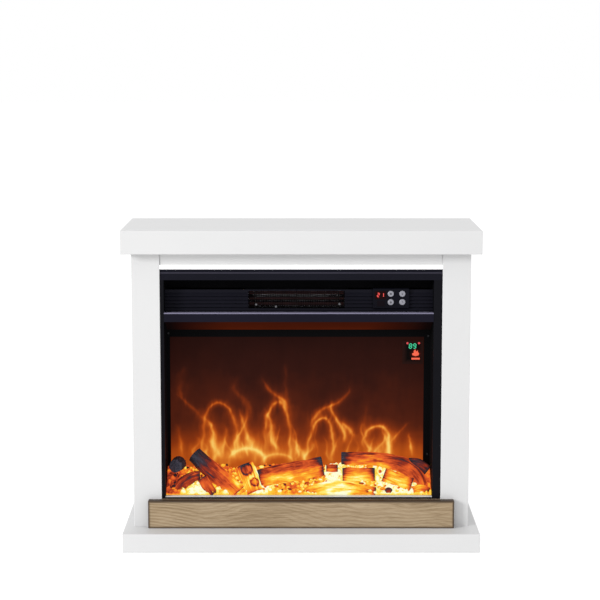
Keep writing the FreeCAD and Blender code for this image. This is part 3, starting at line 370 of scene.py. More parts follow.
def hood_with_painted_firelight():
    """Dark sheet under the crossbar with painted firelight: a red glow given as emission in place of the
    flames' light on it, fading towards both ends and weaker higher up.
    """
    low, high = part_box("hood_panel")
    tree = Nodes("hood_painted_firelight")
    place = tree.axes()
    across, up = place[0], place[2]
    firelight_fade = tree.math(
        "MINIMUM",
        tree.spread(tree.minus(across, low.x), 0.01, 0.14),
        tree.spread(tree.minus(high.x, across), 0.01, 0.14),
    )
    drift = tree.noise(0.05, scale=(0.4, 1, 1))
    depth = tree.spread(up, low.z, high.z, 1.0, 0.55)
    firelight_share = tree.times(tree.times(firelight_fade, depth), tree.spread(drift, 0.2, 0.8, 0.7, 1.1))
    # Painted light: the fire's red glow on the sheet, given as emission.
    glow = tree.mix(firelight_share, (0.003, 0.001, 0.001), (0.068, 0.0082, 0.0012))
    grain = tree.noise(0.001)
    rough = tree.spread(drift, 0.2, 0.8, 0.55, 0.65)
    relief = tree.bump(grain, 0.1)
    return tree.surface((0.002, 0.001, 0.001), rough, relief, specular=0.04, light=glow)


def hot_wire():
    tree = Nodes("hot_wire")
    patch = tree.noise(0.02, detail=3)
    glow = tree.shades(patch, (0.008, 0.003, 0.003), (0.020, 0.007, 0.007))
    relief = tree.bump(tree.noise(0.0012, detail=2), 0.2)
    rough = tree.between(patch, 0.5, 0.7)
    return tree.surface((0.014, 0.009, 0.009), rough, relief, specular=0.06, light=glow, strength=0.8)


def sill_metal():
    """Black sill with a painted highlight: a pale band painted along its upper edge, where the lip catches
    the light.
    """
    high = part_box("sill_trim")[1]
    tree = Nodes("sill_metal")
    place = tree.axes()
    edge = tree.spread(tree.minus(high.z, place[2]), 0.0010, 0.0014, 1.0, 0.0)
    drift = tree.noise(0.02, detail=3)
    # Painted highlight: a pale band along the sill's upper edge.
    painted_edge_highlight = tree.shades(drift, (0.55, 0.54, 0.53), (0.66, 0.64, 0.62))
    shade = tree.mix(edge, (0.008, 0.008, 0.010), painted_edge_highlight)
    rough = tree.between(drift, 0.34, 0.44)
    return tree.surface(shade, rough, tree.bump(drift, 0.05, 0.0002), specular=0.1)


def screw_paint():
    """Blackened screws, paler round the heater outlet than on the screen's rim."""
    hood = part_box("hood_panel")[1]
    tree = Nodes("screw_paint")
    place = tree.axes()
    above = tree.spread(place[2], hood.z, hood.z + 0.001)
    drift = tree.noise(0.003)
    pale = tree.shades(drift, (0.10, 0.10, 0.11), (0.14, 0.14, 0.15))
    dark = tree.shades(drift, (0.010, 0.010, 0.012), (0.016, 0.016, 0.018))
    rough = tree.between(drift, 0.4, 0.5)
    relief = tree.bump(drift, 0.1, 0.0002)
    return tree.surface(tree.mix(above, dark, pale), rough, relief, specular=0.2)


def status_glass():
    """Smoked window with painted glow: its rim gives off a dark red light like the screen's, black inside,
    and a painted reddish glow spreads round the heat symbol.
    """
    low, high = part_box("status_display")
    tree = Nodes("status_glass")
    place = tree.axes()
    inside = depth_inside(tree, place, (low.x, None, low.z), (high.x, None, high.z), 0.011)
    # Painted glow: the rim of the glass and the halo round the heat symbol give off light of their own.
    rim = tree.mix(inside, (0.0165, 0.0046, 0.0034), (0.0016, 0.0007, 0.0006))
    across = tree.minus(place[0], low.x + (high.x - low.x) * 0.64)
    up = tree.minus(place[2], low.z + (high.z - low.z) * 0.42)
    gap = tree.math("SQRT", tree.add(tree.math("POWER", across, 2.0), tree.math("POWER", up, 2.0)))
    near = tree.spread(gap, 0.004, 0.016, 1.0, 0.0)
    light = tree.mix(tree.times(near, near), rim, (0.085, 0.007, 0.003))
    grain = tree.noise(0.001)
    rough = tree.between(grain, 0.37, 0.43)
    relief = tree.bump(grain, 0.02, 0.0002)
    return tree.surface((0.001, 0.0007, 0.0007), rough, relief, specular=0.03, light=light)


def circuit():
    """Green solder mask with lighter tracks."""
    tree = Nodes("circuit_board")
    inputs = {"Vector": tree.coordinates(), "Scale": 180}
    cells = tree.node("ShaderNodeTexVoronoi", inputs, feature="DISTANCE_TO_EDGE", distance="CHEBYCHEV")
    track = tree.spread(cells.outputs["Distance"], 0.05, 0.09, 1.0, 0.0)
    shade = tree.mix(track, (0.012, 0.07, 0.028), (0.03, 0.16, 0.06))
    rough = tree.spread(track, 0.0, 1.0, 0.32, 0.42)
    return tree.surface(shade, rough, tree.bump(track, 0.2, 0.0002))


def glowing(name, colour, strength):
    """Small lit symbol."""
    tree = Nodes(name)
    patch = tree.noise(0.002)
    dim = tuple(channel * 0.75 for channel in colour)
    light = tree.shades(patch, dim, colour)
    relief = tree.bump(patch, 0.05, 0.0002)
    rough = tree.between(patch, 0.35, 0.45)
    return tree.surface((0.02, 0.02, 0.02), rough, relief, light=light, strength=strength)


def fire_screen():
    """Translucent screen lit from behind: the light is the mesh's own glow colour."""
    tree = Nodes("fire_screen")
    glow = tree.node("ShaderNodeAttribute", attribute_name="glow")
    grain = tree.noise(0.0012, detail=2)
    light = tree.mix(tree.spread(grain, 0.2, 0.8, 0.0, 0.10), glow.outputs["Color"], (0.02, 0.006, 0.003))
    rough = tree.spread(grain, 0.2, 0.8, 0.45, 0.55)
    relief = tree.bump(grain, 0.05, 0.0002)
    return tree.surface((0.002, 0.001, 0.001), rough, relief, specular=0.02, light=light)


# Light of burning wood and coal, from cold char to white heat.
HEAT = (
    (0.0, (0.002, 0.001, 0.001)),
    (0.20, (0.045, 0.006, 0.004)),
    (0.36, (0.33, 0.034, 0.012)),
    (0.54, (0.80, 0.118, 0.022)),
    (0.70, (0.97, 0.33, 0.018)),
    (0.83, (1.0, 0.66, 0.055)),
    (0.93, (1.0, 0.90, 0.24)),
    (1.0, (1.0, 1.0, 0.72)),
)


def burning(name, grain_size, stretch, contrast, aligned=True):
    """Glowing wood or coal: the mesh's heat, fibres, blotches and cracks together choose the light."""
    tree = Nodes(name)
    if aligned:
        tree.place = tree.node("ShaderNodeAttribute", attribute_name="grain_place").outputs["Vector"]
    heat = tree.node("ShaderNodeAttribute", attribute_name="burn_level").outputs["Fac"]
    fibre = tree.noise(grain_size, scale=stretch, detail=5, rough=0.62, distortion=0.25)
    blotch = tree.noise(grain_size * 5, detail=4, rough=0.6)
    crack = tree.noise(grain_size * 1.6, scale=(stretch[0] * 0.7, 1, 1), detail=2, distortion=0.4)
    crack = tree.spread(crack, 0.60, 0.70)
    fibres, blotches = tree.minus(fibre, 0.5), tree.minus(blotch, 0.5)
    ripple = tree.weigh((fibres, contrast), (blotches, contrast * 0.9), (crack, contrast * -0.55))
    value = tree.math("ADD", heat, ripple, clamp=True)
    light = tree.ramp(value, HEAT)
    ash = tree.shades(fibre, (0.012, 0.012, 0.017), (0.052, 0.050, 0.070))
    ash = tree.mix(tree.spread(value, 0.05, 0.34), ash, (0.004, 0.001, 0.001))
    relief = tree.bump(tree.minus(fibre, crack), 0.6, 0.0015)
    rough = tree.between(fibre, 0.70, 0.85)
    return tree.surface(ash, rough, relief, specular=0.04, light=light, strength=1.0)


# ---- Mesh helpers ----


def add_piece(name, mesh, material, smooth=True):
    """Link a finished mesh as a visible piece that rides on the fireplace body."""
    obj = bpy.data.objects.new(name, mesh)
    bpy.context.scene.collection.objects.link(obj)
    mesh.materials.clear()
    mesh.materials.append(material)
    for face in mesh.polygons:
        face.use_smooth = smooth
    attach(obj, BODY)
    return obj


def mesh_from(name, vertices, faces):
    mesh = bpy.data.meshes.new(name)
    mesh.from_pydata([tuple(v) for v in vertices], [], faces)
    mesh.validate()
    bm = bmesh.new()
    bm.from_mesh(mesh)
    bmesh.ops.recalc_face_normals(bm, faces=bm.faces)
    bm.to_mesh(mesh)
    bm.free()
    return mesh


def set_values(mesh, name, kind, values):
    """Store one value per point of a mesh, for its material to read."""
    layer = mesh.attributes.new(name, kind, "POINT")
    field = "value" if kind == "FLOAT" else "vector"
    layer.data.foreach_set(field, np.asarray(values, np.float32).ravel())


def grid_solid(name, points, columns, far):
    """Closed mesh: rows of points as one side, walls from its rim to far(point), and a flat far side.
    Also returns how many points the far side has."""
    line = columns + 1
    rows = len(points) // line - 1
    faces = [
        (corner, corner + 1, corner + line + 1, corner + line)
        for row in range(rows)
        for corner in range(row * line, row * line + columns)
    ]
    rim = list(range(columns))
    rim += [row * line + columns for row in range(rows)]
    rim += [rows * line + columns - column for column in range(columns)]
    rim += [(rows - row) * line for row in range(rows)]
    first = len(points)
    for index, near in enumerate(rim):
        after = (index + 1) % len(rim)
        faces.append((near, first + index, first + after, rim[after]))
    faces.append(tuple(range(first, first + len(rim))))
    return mesh_from(name, points + [far(*points[index]) for index in rim], faces), len(rim)


# ---- Flame screen ----

# Flames are lines of light: arches on two feet, and licks that rise from one foot. Their places are shares
# of the screen's width and height. They give the photograph's rough layout, not its single strokes.
# Arches: middle, half span, foot height, top height, lean of the top, half width (mm), brightness.
ARCHES = (
    (0.20, 0.07, 0.20, 0.55, -0.01, 3.0, 0.55),
    (0.42, 0.05, 0.25, 0.55, 0.00, 3.4, 0.55),
    (0.58, 0.05, 0.18, 0.45, 0.02, 2.6, 0.60),
    (0.80, 0.05, 0.28, 0.40, 0.01, 2.6, 0.65),
    (0.30, 0.07, 0.16, 0.25, 0.00, 2.8, 0.90),
    (0.42, 0.06, 0.16, 0.22, 0.00, 2.2, 0.40),
)
# Licks: foot across, foot height, tip height, lean of the tip, curl of the middle, half width, brightness.
LICKS = (
    (0.20, 0.20, 0.45, -0.06, -0.01, 4.5, 0.90),
    (0.25, 0.20, 0.50, 0.05, -0.01, 2.6, 0.60),
    (0.32, 0.25, 0.50, -0.05, 0.00, 4.0, 0.75),
    (0.30, 0.45, 0.70, -0.04, 0.02, 6.5, 0.36),
    (0.42, 0.25, 0.50, -0.05, -0.01, 4.5, 0.85),
    (0.46, 0.50, 0.70, -0.10, 0.01, 4.0, 0.60),
    (0.45, 0.55, 0.80, 0.00, 0.00, 4.0, 0.26),
    (0.55, 0.40, 0.65, 0.15, -0.02, 4.0, 0.60),
    (0.68, 0.30, 0.55, -0.05, 0.01, 3.6, 0.95),
    (0.72, 0.34, 0.42, -0.05, 0.00, 3.2, 0.75),
    (0.75, 0.36, 0.55, 0.02, 0.00, 8.0, 0.18),
    (0.85, 0.20, 0.35, 0.00, 0.00, 4.5, 0.95),
    (0.86, 0.30, 0.42, 0.07, 0.00, 2.4, 0.40),
    (0.94, 0.22, 0.35, -0.01, 0.00, 2.6, 0.60),
    (0.02, 0.55, 0.78, 0.05, 0.01, 8.0, 0.30),
    (0.13, 0.45, 0.60, -0.10, 0.00, 3.0, 0.35),
)
SMALL_LICKS = 28
LINE_STEPS = 14
SCREEN_STEP = 1.6 * MM


def wander(across, up, seed, knots):
    """Smooth random field from -1 to 1 over the screen."""
    dice = np.random.default_rng(seed)
    grid = dice.uniform(-1, 1, (knots + 2, knots + 2))
    x, y = np.clip(across, 0, 1) * knots, np.clip(up, 0, 1) * knots
    left, low = x.astype(int), y.astype(int)
    u, v = x - left, y - low
    u, v = u * u * (3 - 2 * u), v * v * (3 - 2 * v)
    bottom = grid[low, left] * (1 - u) + grid[low, left + 1] * u
    top = grid[low + 1, left] * (1 - u) + grid[low + 1, left + 1] * u
    return bottom * (1 - v) + top * v


def small_licks():
    """Short licks at chance places just above the embers, in the same terms as LICKS."""
    dice = np.random.default_rng(68)
    least = (0.04, 0.15, 0.25, -0.03, -0.015, 1.5, 0.12)
    most = (0.96, 0.22, 0.42, 0.03, 0.015, 3.5, 0.50)
    return [tuple(dice.uniform(least, most)) for _ in range(SMALL_LICKS)]


def arch_line(middle, half_span, foot, top, lean):
    """Points of an arch, from its left foot over the top to its right foot."""
    angle = np.linspace(0, math.pi, LINE_STEPS)
    rise = np.clip(np.sin(angle), 0, 1) ** 0.75
    across = middle - half_span * np.cos(angle) + lean * rise
    return np.stack([across, foot + (top - foot) * rise], axis=-1)


def lick_line(foot_across, foot, tip, lean, curl):
    """Points of a lick, from its foot to its tip."""
    part = np.linspace(0, 1, LINE_STEPS)
    bend = curl * np.sin(2 * math.pi * part)
    return np.stack([foot_across + lean * part + bend, foot + (tip - foot) * part], axis=-1)


def flame_strokes():
    """Every arch and lick: its points, and its half width and brightness at both ends."""
    strokes = []
    for *place, size, level in ARCHES:
        strokes.append((arch_line(*place), (size, size), (level, level)))
    for *place, size, level in [*LICKS, *small_licks()]:
        strokes.append((lick_line(*place), (size, 0.6 * size), (level, 0.5 * level)))
    return strokes


def flame_brightness(across, up, width, height):
    """Brightness of all the flames: a bright core, a soft body beside it and a wide faint halo."""
    across = across + 0.0035 * wander(across, up, 61, 24) + 0.0011 * wander(across, up, 62, 60)
    up = up + 0.005 * wander(across, up, 63, 20)
    streaks = 0.26 * wander(across, up * 0.20, 66, 110) + 0.16 * wander(across, up * 0.12, 67, 190)
    strength = 1 + streaks + 0.16 * wander(across, up, 64, 30)
    x, z = across * width, up * height
    cores, haze = np.zeros_like(across), np.zeros_like(across)
    for places, sizes, levels in flame_strokes():
        line = places * (width, height)
        best, soft = np.zeros_like(across), np.zeros_like(across)
        count = len(line) - 1
        for index in range(count):
            start, span = line[index], line[index + 1] - line[index]
            t = ((x - start[0]) * span[0] + (z - start[1]) * span[1]) / float(span @ span)
            t = np.clip(t, 0, 1)
            gap_x = x - (start[0] + t * span[0])
            gap_z = z - (start[1] + t * span[1])
            part = (index + t) / count
            size = (sizes[0] + (sizes[1] - sizes[0]) * part) * MM
            ends = np.clip(part * 4, 0, 1) * np.clip((1 - part) * 6, 0, 1)
            level = (levels[0] + (levels[1] - levels[0]) * part) * (0.25 + 0.75 * ends)
            square = (gap_x**2 + gap_z**2) / size**2
            core = 0.44 * np.exp(-square) + 0.36 * np.exp(-square / 6)
            best = np.maximum(best, core * level)
            soft = np.maximum(soft, np.exp(-square / 34) * level)
        cores += best
        haze += soft
    return cores * strength + 0.17 * haze * (1 + streaks)


# Light of the screen (linear red, green, blue) from its dark top to the brightest flame cores.
SCREEN_LIGHT = (
    (0.0, (0.0115, 0.0026, 0.0019)),
    (0.15, (0.03, 0.006, 0.0035)),
    (0.32, (0.08, 0.0125, 0.0042)),
    (0.52, (0.25, 0.034, 0.0042)),
    (0.7, (0.52, 0.09, 0.0075)),
    (0.86, (0.77, 0.22, 0.024)),
    (1.05, (0.93, 0.42, 0.065)),
    (1.4, (1.0, 0.7, 0.18)),
)

# Smoke: share, seed and number of knots of each field of blotches, from broad to fine.
BLOTCHES = ((0.5, 3, 6), (0.3, 4, 14), (0.2, 5, 40))


def flame_colours(across, up, width, height):
    """Light of the screen: dark red-brown at the top, orange near the logs, with smoke and flames."""
    glow = 0.02 + 0.47 * (1 - up) + 0.27 / (1 + np.exp((up - 0.34) / 0.05))
    blotches = sum(share * wander(across, up, seed, knots) for share, seed, knots in BLOTCHES)
    glow += 0.07 * blotches * np.clip(1.3 - up, 0.3, 1)
    column = wander(across, up * 0.12, 8, 30) + 0.6 * wander(across, up * 0.2, 9, 75)
    glow += 0.035 * column * np.clip(1.15 - up, 0.15, 1)
    glow -= 0.05 * np.clip((0.16 - across) / 0.16, 0, 1) + 0.02 * np.clip((across - 0.86) / 0.14, 0, 1)
    value = np.clip(glow, 0, None) + 0.78 * flame_brightness(across, up, width, height)
    stops = [stop for stop, _ in SCREEN_LIGHT]
    light = [np.interp(value, stops, [colour[k] for _, colour in SCREEN_LIGHT]) for k in range(3)]
    return np.stack([*light, np.ones_like(value)], axis=-1)


def make_flame_screen():
    low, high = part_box("flame_screen")
    width, height = high.x - low.x, high.z - low.z
    columns, rows = int(width / SCREEN_STEP), int(height / SCREEN_STEP)
    across, up = np.meshgrid(np.linspace(0, 1, columns + 1), np.linspace(0, 1, rows + 1))
    across, up = across.ravel(), up.ravel()
    front = [(low.x + u * width, low.y, low.z + v * height) for u, v in zip(across, up)]
    mesh, back_points = grid_solid("flame_screen_lit", front, columns, lambda x, y, z: (x, high.y, z))
    colours = np.zeros((len(front) + back_points, 4), np.float32)
    colours[: len(front)] = flame_colours(across, up, width, height)
    colours[len(front) :, 3] = 1
    layer = mesh.color_attributes.new("glow", "FLOAT_COLOR", "POINT")
    layer.data.foreach_set("color", colours.ravel())
    screen = add_piece("flame_screen_lit", mesh, fire_screen())
    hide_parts("flame_screen")


# ---- Logs ----


def frame_along(axis):
    """Two directions across an axis, the first towards the front, or down where the axis runs forward."""
    aim_at = Vector((0, -1, 0)) if abs(axis.y) < 0.9 else Vector((0, 0, -1))
    forward = (aim_at - axis * aim_at.dot(axis)).normalized()
    return forward, forward.cross(axis).normalized()


# Bend of a log: past (mm by which its right end goes on, into the embers), lower and bow (mm), roundness.
# Shape of a log: top (how much darker its top is, a painted shade as from the embers' light below), side (how
# much brighter its right side is, painted light), split (direction of a riven face) and knots (place along,
# angle round, size in mm).
# Logs of the CAD model: node, way that the axis runs, radius of the CAD billet (mm), bend, radii (mm) and
# heats at equal steps along it, shape.
BILLETS = (
    ("left_round_log", (1, 1, -1), 16, {}, (15, 16, 16), (0.0, 0.03, 0.2), {}),
    ("diagonal_log", (1, -1, -1), 18, {"past": (12, -6, -15)}, (18, 19, 20, 21, 21),
     (0.02, 0.10, 0.34, 0.42, 0.56, 0.68, 0.86), {"top": -0.06, "side": 0.10}),
    ("knot_log", (1, -1, -1), 17, {"past": (5, -6, -15)}, (19, 20, 22),
     (0.74, 0.80, 0.90, 0.95), {"side": 0.16, "knots": ((0.20, 0.06, 13.0), (0.70, 0.42, 9.5))}),
    ("centre_log", (1, 1, 1), 20, {}, (20, 21, 22, 21),
     (0.46, 0.70, 0.68, 0.64, 0.62, 0.38), {"top": 0.20, "split": (0.05, -1, 0.15)}),
    ("front_log", (1, 1, 1), 15, {"lower": 15, "bow": 10}, (10, 16, 19, 17, 15),
     (0.52, 0.80, 0.97, 0.92, 0.74, 0.60), {"top": -0.08}),
    ("rear_right_log", (1, -1, -1), 15, {"past": (8, -24, -64), "roundness": 3},
     (14, 15, 15.5, 17, 19, 19, 18),
     (0.24, 0.52, 0.58, 0.60, 0.56, 0.46, 0.46, 0.50, 0.58), {"top": 0.05}),
)
# Split pieces: name, both ends as (x, depth behind the front of the bed, z) in mm, bend, radii, heats, shape.
SPLITS = (
    ("middle_block", ((90, 25, 145), (160, 25, 145)), {}, (15, 15.5, 15),
     (0.50, 0.74, 0.82, 0.70, 0.34), {"split": (0, -1, 0.25), "top": 0.10}),
    ("tilted_block", ((180, 25, 145), (240, 15, 125)), {}, (15, 16, 16),
     (0.58, 0.74, 0.80, 0.74, 0.52), {"split": (0.1, -1, 0.4)}),
    ("front_chunk", ((240, 12, 110), (275, 12, 110)), {"bow": 6}, (10, 11.5, 10),
     (0.62, 0.74, 0.50), {"top": -0.12}),
    ("left_split", ((-220, 20, 145), (-270, 10, 105)), {"roundness": 1.6}, (10, 13, 13, 11),
     (0.34, 0.20, 0.24, 0.40), {"split": (0.2, -1, 0.3), "top": -0.10}),
    ("left_chip", ((-215, 18, 140), (-190, 8, 105)), {}, (11, 12, 11), (0.56, 0.50, 0.46), {}),
    ("back_stub", ((55, 42, 155), (80, 42, 155)), {}, (8, 9, 8), (0.66, 0.50, 0.64), {}),
    ("end_billet", ((235, 45, 165), (275, 40, 150)), {"bow": 5}, (12, 15, 13), (0.34, 0.22, 0.24, 0.40), {}),
    ("coal_nub", ((183, 4, 113), (195, 4, 113)), {"bow": 3}, (5, 6.5, 5), (0.60, 0.44, 0.56), {}),
)
TURNS = 64
CAP_ROWS = 7
RING_GAP = 2.5 * MM
FINE_STEPS = 400


def billet_ends(name, way, radius):
    """Both ends of a CAD log's axis, worked out from its box and its radius."""
    low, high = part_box(name)
    half = (high - low) / 2
    run = half
    for _ in range(20):
        axis = run.normalized()
        caps = [radius * MM * math.sqrt(max(0.0, 1 - share * share)) for share in axis]
        run = Vector([max(0.0, size - cap) for size, cap in zip(half, caps)])
    run = Vector([size * sign for size, sign in zip(run, way)])
    middle = (low + high) / 2
    return middle - run, middle + run


def log_line(start, end, past=(0, 0, 0), lower=0, bow=0, roundness=1):
    """Evenly spaced points along a log: straight at roundness 1, and level before it falls above that."""
    start, end = np.array(start), np.array(end) + np.array(past) * MM
    angle = np.linspace(0, math.pi / 2, FINE_STEPS)
    run, fall = np.sin(angle) ** (2 / roundness), 1 - np.abs(np.cos(angle)) ** (2 / roundness)
    line = start + (end - start) * np.stack([run, fall, fall], axis=-1)
    line[:, 2] += (bow * np.sin(math.pi * run) - lower) * MM
    travelled = np.concatenate([[0], np.cumsum(np.linalg.norm(np.diff(line, axis=0), axis=1))])
    places = np.linspace(0, travelled[-1], max(8, round(travelled[-1] / RING_GAP)))
    return [Vector(point) for point in zip(*(np.interp(places, travelled, axis) for axis in line.T))]


def log_rows(points, radii):
    """Rings of a log: centre, axis, place along (0 to 1), share of the radius and the radius."""
    steps = [(b - a).length for a, b in zip(points, points[1:])]
    total = sum(steps)
    travelled = np.concatenate([[0], np.cumsum(steps)]) / total
    travelled[-1] = 1
    sizes = np.interp(travelled, np.linspace(0, 1, len(radii)), radii) * MM
    body = []
    for index, centre in enumerate(points):
        ahead = points[min(index + 1, len(points) - 1)] - points[max(index - 1, 0)]
        body.append((centre, ahead.normalized(), float(travelled[index]), 1.0, float(sizes[index])))
    first, last = body[0], body[-1]
    start = [(*first[:3], (cap + 0.2) / CAP_ROWS, first[4]) for cap in range(CAP_ROWS)]
    end = [(*last[:3], 1 - (cap + 0.8) / CAP_ROWS, last[4]) for cap in range(CAP_ROWS)]
    return start + body + end, total


def round_knots(knots, part, angle, total, radius, ragged):
    """Swelling of the bark round the knots, with a pit in each, and how much darker they are."""
    swell = burnt = 0.0
    for place, at, size in knots:
        round_log = math.remainder(angle - at, 2 * math.pi) * radius
        gap = math.hypot((part - place) * total, round_log) / (size * MM)
        swell += size * MM * (0.42 * math.exp(-(gap**4)) - 0.30 * math.exp(-((gap / 0.55) ** 4)))
        gap += ragged
        burnt += 0.55 * math.exp(-((gap - 0.92) ** 2) / 0.035) + 0.26 * math.exp(-((gap / 0.85) ** 4))
    return swell, burnt


def riven(reach, radius, facing, wave):
    """Reach of the surface, cut back to a riven face, and how much hotter that face is."""
    if facing > 0.05:
        reach = min(reach, radius * (0.50 + wave) / facing)
    return reach, 0.07 if facing > 0.4 else 0.0


def tube_faces(rings):
    """Faces of a tube of rings, closed at both ends."""
    faces = [tuple(reversed(range(TURNS))), tuple(range((rings - 1) * TURNS, rings * TURNS))]
    for low in range(0, (rings - 1) * TURNS, TURNS):
        high = low + TURNS
        for turn in range(TURNS):
            after = (turn + 1) % TURNS
            faces.append((low + turn, low + after, high + after, high + turn))
    return faces


def make_log(name, line, radii, heats, seed, top=0.0, side=0.0, split=None, knots=()):
    """Sculpted log: lumpy bark, knots, riven face, crumbled ends, and the heat of each point, which also
    holds painted light and shade: brighter underneath and on the right, darker on top.
    """
    rows, total = log_rows(line, radii)
    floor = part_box("ember_bed")[0].z + 0.0002
    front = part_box("ember_bed")[0].y - 0.002
    shift = Vector((seed * 3.1, seed * 1.7, seed * 0.9))
    face = Vector(split).normalized() if split else None
    vertices, heat, places = [], [], []
    for centre, axis, part, share, radius in rows:
        forward, up = frame_along(axis)
        along = part * total
        level = float(np.interp(part, np.linspace(0, 1, len(heats)), heats))
        level -= 0.24 * math.exp(-((min(part, 1 - part) * total / 0.007) ** 2))
        if part in (0.0, 1.0):
            level -= 0.20 * math.exp(-(((share - 1) / 0.25) ** 2))
        for turn in range(TURNS):
            # Angle 0 faces the front of the fireplace.
            angle = 2 * math.pi * turn / TURNS
            ring = Vector((math.cos(angle), math.sin(angle), 0))
            direction = forward * ring.x + up * ring.y
            seat = shift + ring * 1.4 + Vector((0, 0, along * 28))
            ridges = noise.fractal(shift + ring * 7 + Vector((0, 0, along * 40)), 0.7, 2.1, 3)
            reach = radius * (0.94 + 0.12 * noise.noise(seat) + 0.08 * ridges)
            # Painted light and shade: the underside is made brighter and the top darker, as from the embers'
            # light below, and side brightens the right side.
            value = level - 0.10 * direction.z + side * direction.x
            if face is not None:
                wave = 0.045 * noise.noise(shift + Vector((angle * 9, along * 60, 0)))
                reach, hotter = riven(reach, radius, direction.dot(face), wave)
                value += hotter
            ragged = 0.22 * noise.noise(shift + direction * 5 + Vector((0, 0, along * 90)))
            swell, burnt = round_knots(knots, part, angle, total, radius, ragged)
            reach += swell
            dip = 0.0
            if share < 1.0:
                crumble = noise.noise(shift + direction * 3 * share + Vector((0, 0, 5 * part)))
                dip = radius * (0.10 * (1 - share) + 0.08 * crumble * share) * (1 if part == 0 else -1)
            place = centre + direction * reach * share + axis * dip
            place.z = max(place.z, floor)
            place.y = max(place.y, front)
            vertices.append(place)
            # Painted shade: top darkens the upper side of the log.
            value -= burnt + top * max(0.0, direction.z - 0.30) / 0.7
            value += 0.20 * noise.noise(seat * 1.3 + Vector((3, 0, 0))) + 0.10 * ridges
            heat.append(min(1.0, max(0.0, value)))
            bark = ring * radius * share
            places.append((along + seed * 0.4 + 0.3 * radius * (1 - share), bark.x, bark.y))
    mesh = mesh_from(name, vertices, tube_faces(len(rows)))
    set_values(mesh, "burn_level", "FLOAT", heat)
    set_values(mesh, "grain_place", "FLOAT_VECTOR", places)
    return mesh


def make_logs():
    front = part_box("ember_bed")[0].y
    logs = []
    for name, way, billet_radius, bend, *look in BILLETS:
        logs.append((name, log_line(*billet_ends(name, way, billet_radius), **bend), *look))
    for name, ends, bend, *look in SPLITS:
        start, end = [(x * MM, front + depth * MM, z * MM) for x, depth, z in ends]
        logs.append((name, log_line(start, end, **bend), *look))
    wood = burning("burning_wood", 0.0032, (0.14, 1, 1), 0.37)
    replaced = {name: name for name, *_ in BILLETS} | {"middle_block": "log_pieces"}
    for number, (name, line, radii, heats, shape) in enumerate(logs, 1):
        mesh = make_log(f"{name}_burnt", line, radii, heats, number, **shape)
        log = add_piece(f"{name}_burnt", mesh, wood)
        if name in replaced:
            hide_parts(replaced[name])


# ---- Ember mound ----

EMBER_STEP = 1.5 * MM
FLOOR_HEAT = 0.8
COALS = 460
COAL_SIZES = (0.0014, 0.0042)
# How much hotter or colder than the embers under it a coal may be.
COAL_HEATS = (-0.50, -0.3, -0.18, -0.08, 0.0, 0.08)

# Heaps at the back of the embers: x and reach (mm), and height as a share of the bed's.
HEAPS = ((68, 24, 0.16), (172, 66, 0.17))
# Hotter and colder places in the embers: x (mm), share of the depth, reach (mm) and change of heat.
HOT_SPOTS = (
    (-222, 0.10, 24, 0.30),
    (-172, 0.15, 26, 0.14),
    (-84, 0.20, 34, 0.34),
    (73, 0.45, 34, 0.30),
    (205, 0.10, 44, 0.34),
    (70, 0.85, 22, 0.34),
    (130, 0.9, 30, 0.20),
    (165, 0.60, 26, 0.18),
    (-288, 0.30, 26, -0.46),
    (282, 0.30, 22, -0.22),
    (-20, 0.15, 46, -0.10),
)


def mound_height(x, share, low, high):
    """Height of the mound at a place along the bed and a share of its depth."""
    swell = noise.noise(Vector((x * 16, share * 1.5, 2.0)))
    rise = float(np.interp(share, (0, 0.5, 0.85, 1), (0.08, 0.50, 0.80, 0.80)))
    for middle, reach, height in HEAPS:
        rise += share * height * math.exp(-(((x / MM - middle) / reach) ** 2))
    return low.z + (high.z - low.z) * (rise + (0.05 + 0.14 * share) * swell)


def ember_heat(x, share):
    """Heat of the embers, from hot and cold places."""
    heat = 0.88 - 0.24 * share
    for place, depth, reach, change in HOT_SPOTS:
        gap = math.hypot((x / MM - place) / reach, (share - depth) * 66 / reach)
        heat += change * math.exp(-gap * gap)
    return heat


def pebbles(x, y, layer):
    """Height of rounded pebbles, from 0 in the gaps between them to 1."""
    gaps, _ = noise.voronoi(Vector((x, y, layer)))
    return min(1.0, (gaps[1] - gaps[0]) * 1.7)


def make_ember_mound():
    low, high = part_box("ember_bed")
    columns = int((high.x - low.x) / EMBER_STEP)
    rows = int((high.y - low.y) / EMBER_STEP)
    vertices, heat = [], []
    for row in range(rows + 1):
        share = row / rows
        for column in range(columns + 1):
            x = low.x + (high.x - low.x) * column / columns
            y = low.y + (high.y - low.y) * share
            pebble, grit = pebbles(x * 95, y * 105, 0.3), pebbles(x * 230, y * 230, 1.3)
            z = mound_height(x, share, low, high) + 0.0042 * pebble + 0.0014 * grit - 0.002
            vertices.append((x, y, max(z, low.z + 0.001)))
            broad = noise.noise(Vector((x * 24, y * 30, 7.0)))
            tint = noise.noise(Vector((x * 80, y * 90, 4.3)))
            value = ember_heat(x, share) + 0.30 * broad + 0.28 * (pebble - 0.62) + 0.06 * (grit - 0.5)
            heat.append(float(np.clip(value + 0.12 * tint, 0.12, 1)))
    mesh, floor_points = grid_solid("ember_mound", vertices, columns, lambda x, y, z: (x, y, low.z))
    set_values(mesh, "burn_level", "FLOAT", heat + [FLOOR_HEAT] * floor_points)
    glow = burning("ember_glow", 0.0026, (1, 1, 1), 0.24, aligned=False)
    mound = add_piece("ember_mound", mesh, glow)
    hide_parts("ember_bed")


def coal_shape():
    """Points and faces of a small ball."""
    ball = bmesh.new()
    bmesh.ops.create_icosphere(ball, subdivisions=2, radius=1.0)
    ball.verts.index_update()
    points = [v.co.copy() for v in ball.verts]
    faces = [tuple(v.index for v in f.verts) for f in ball.faces]
    ball.free()
    return points, faces


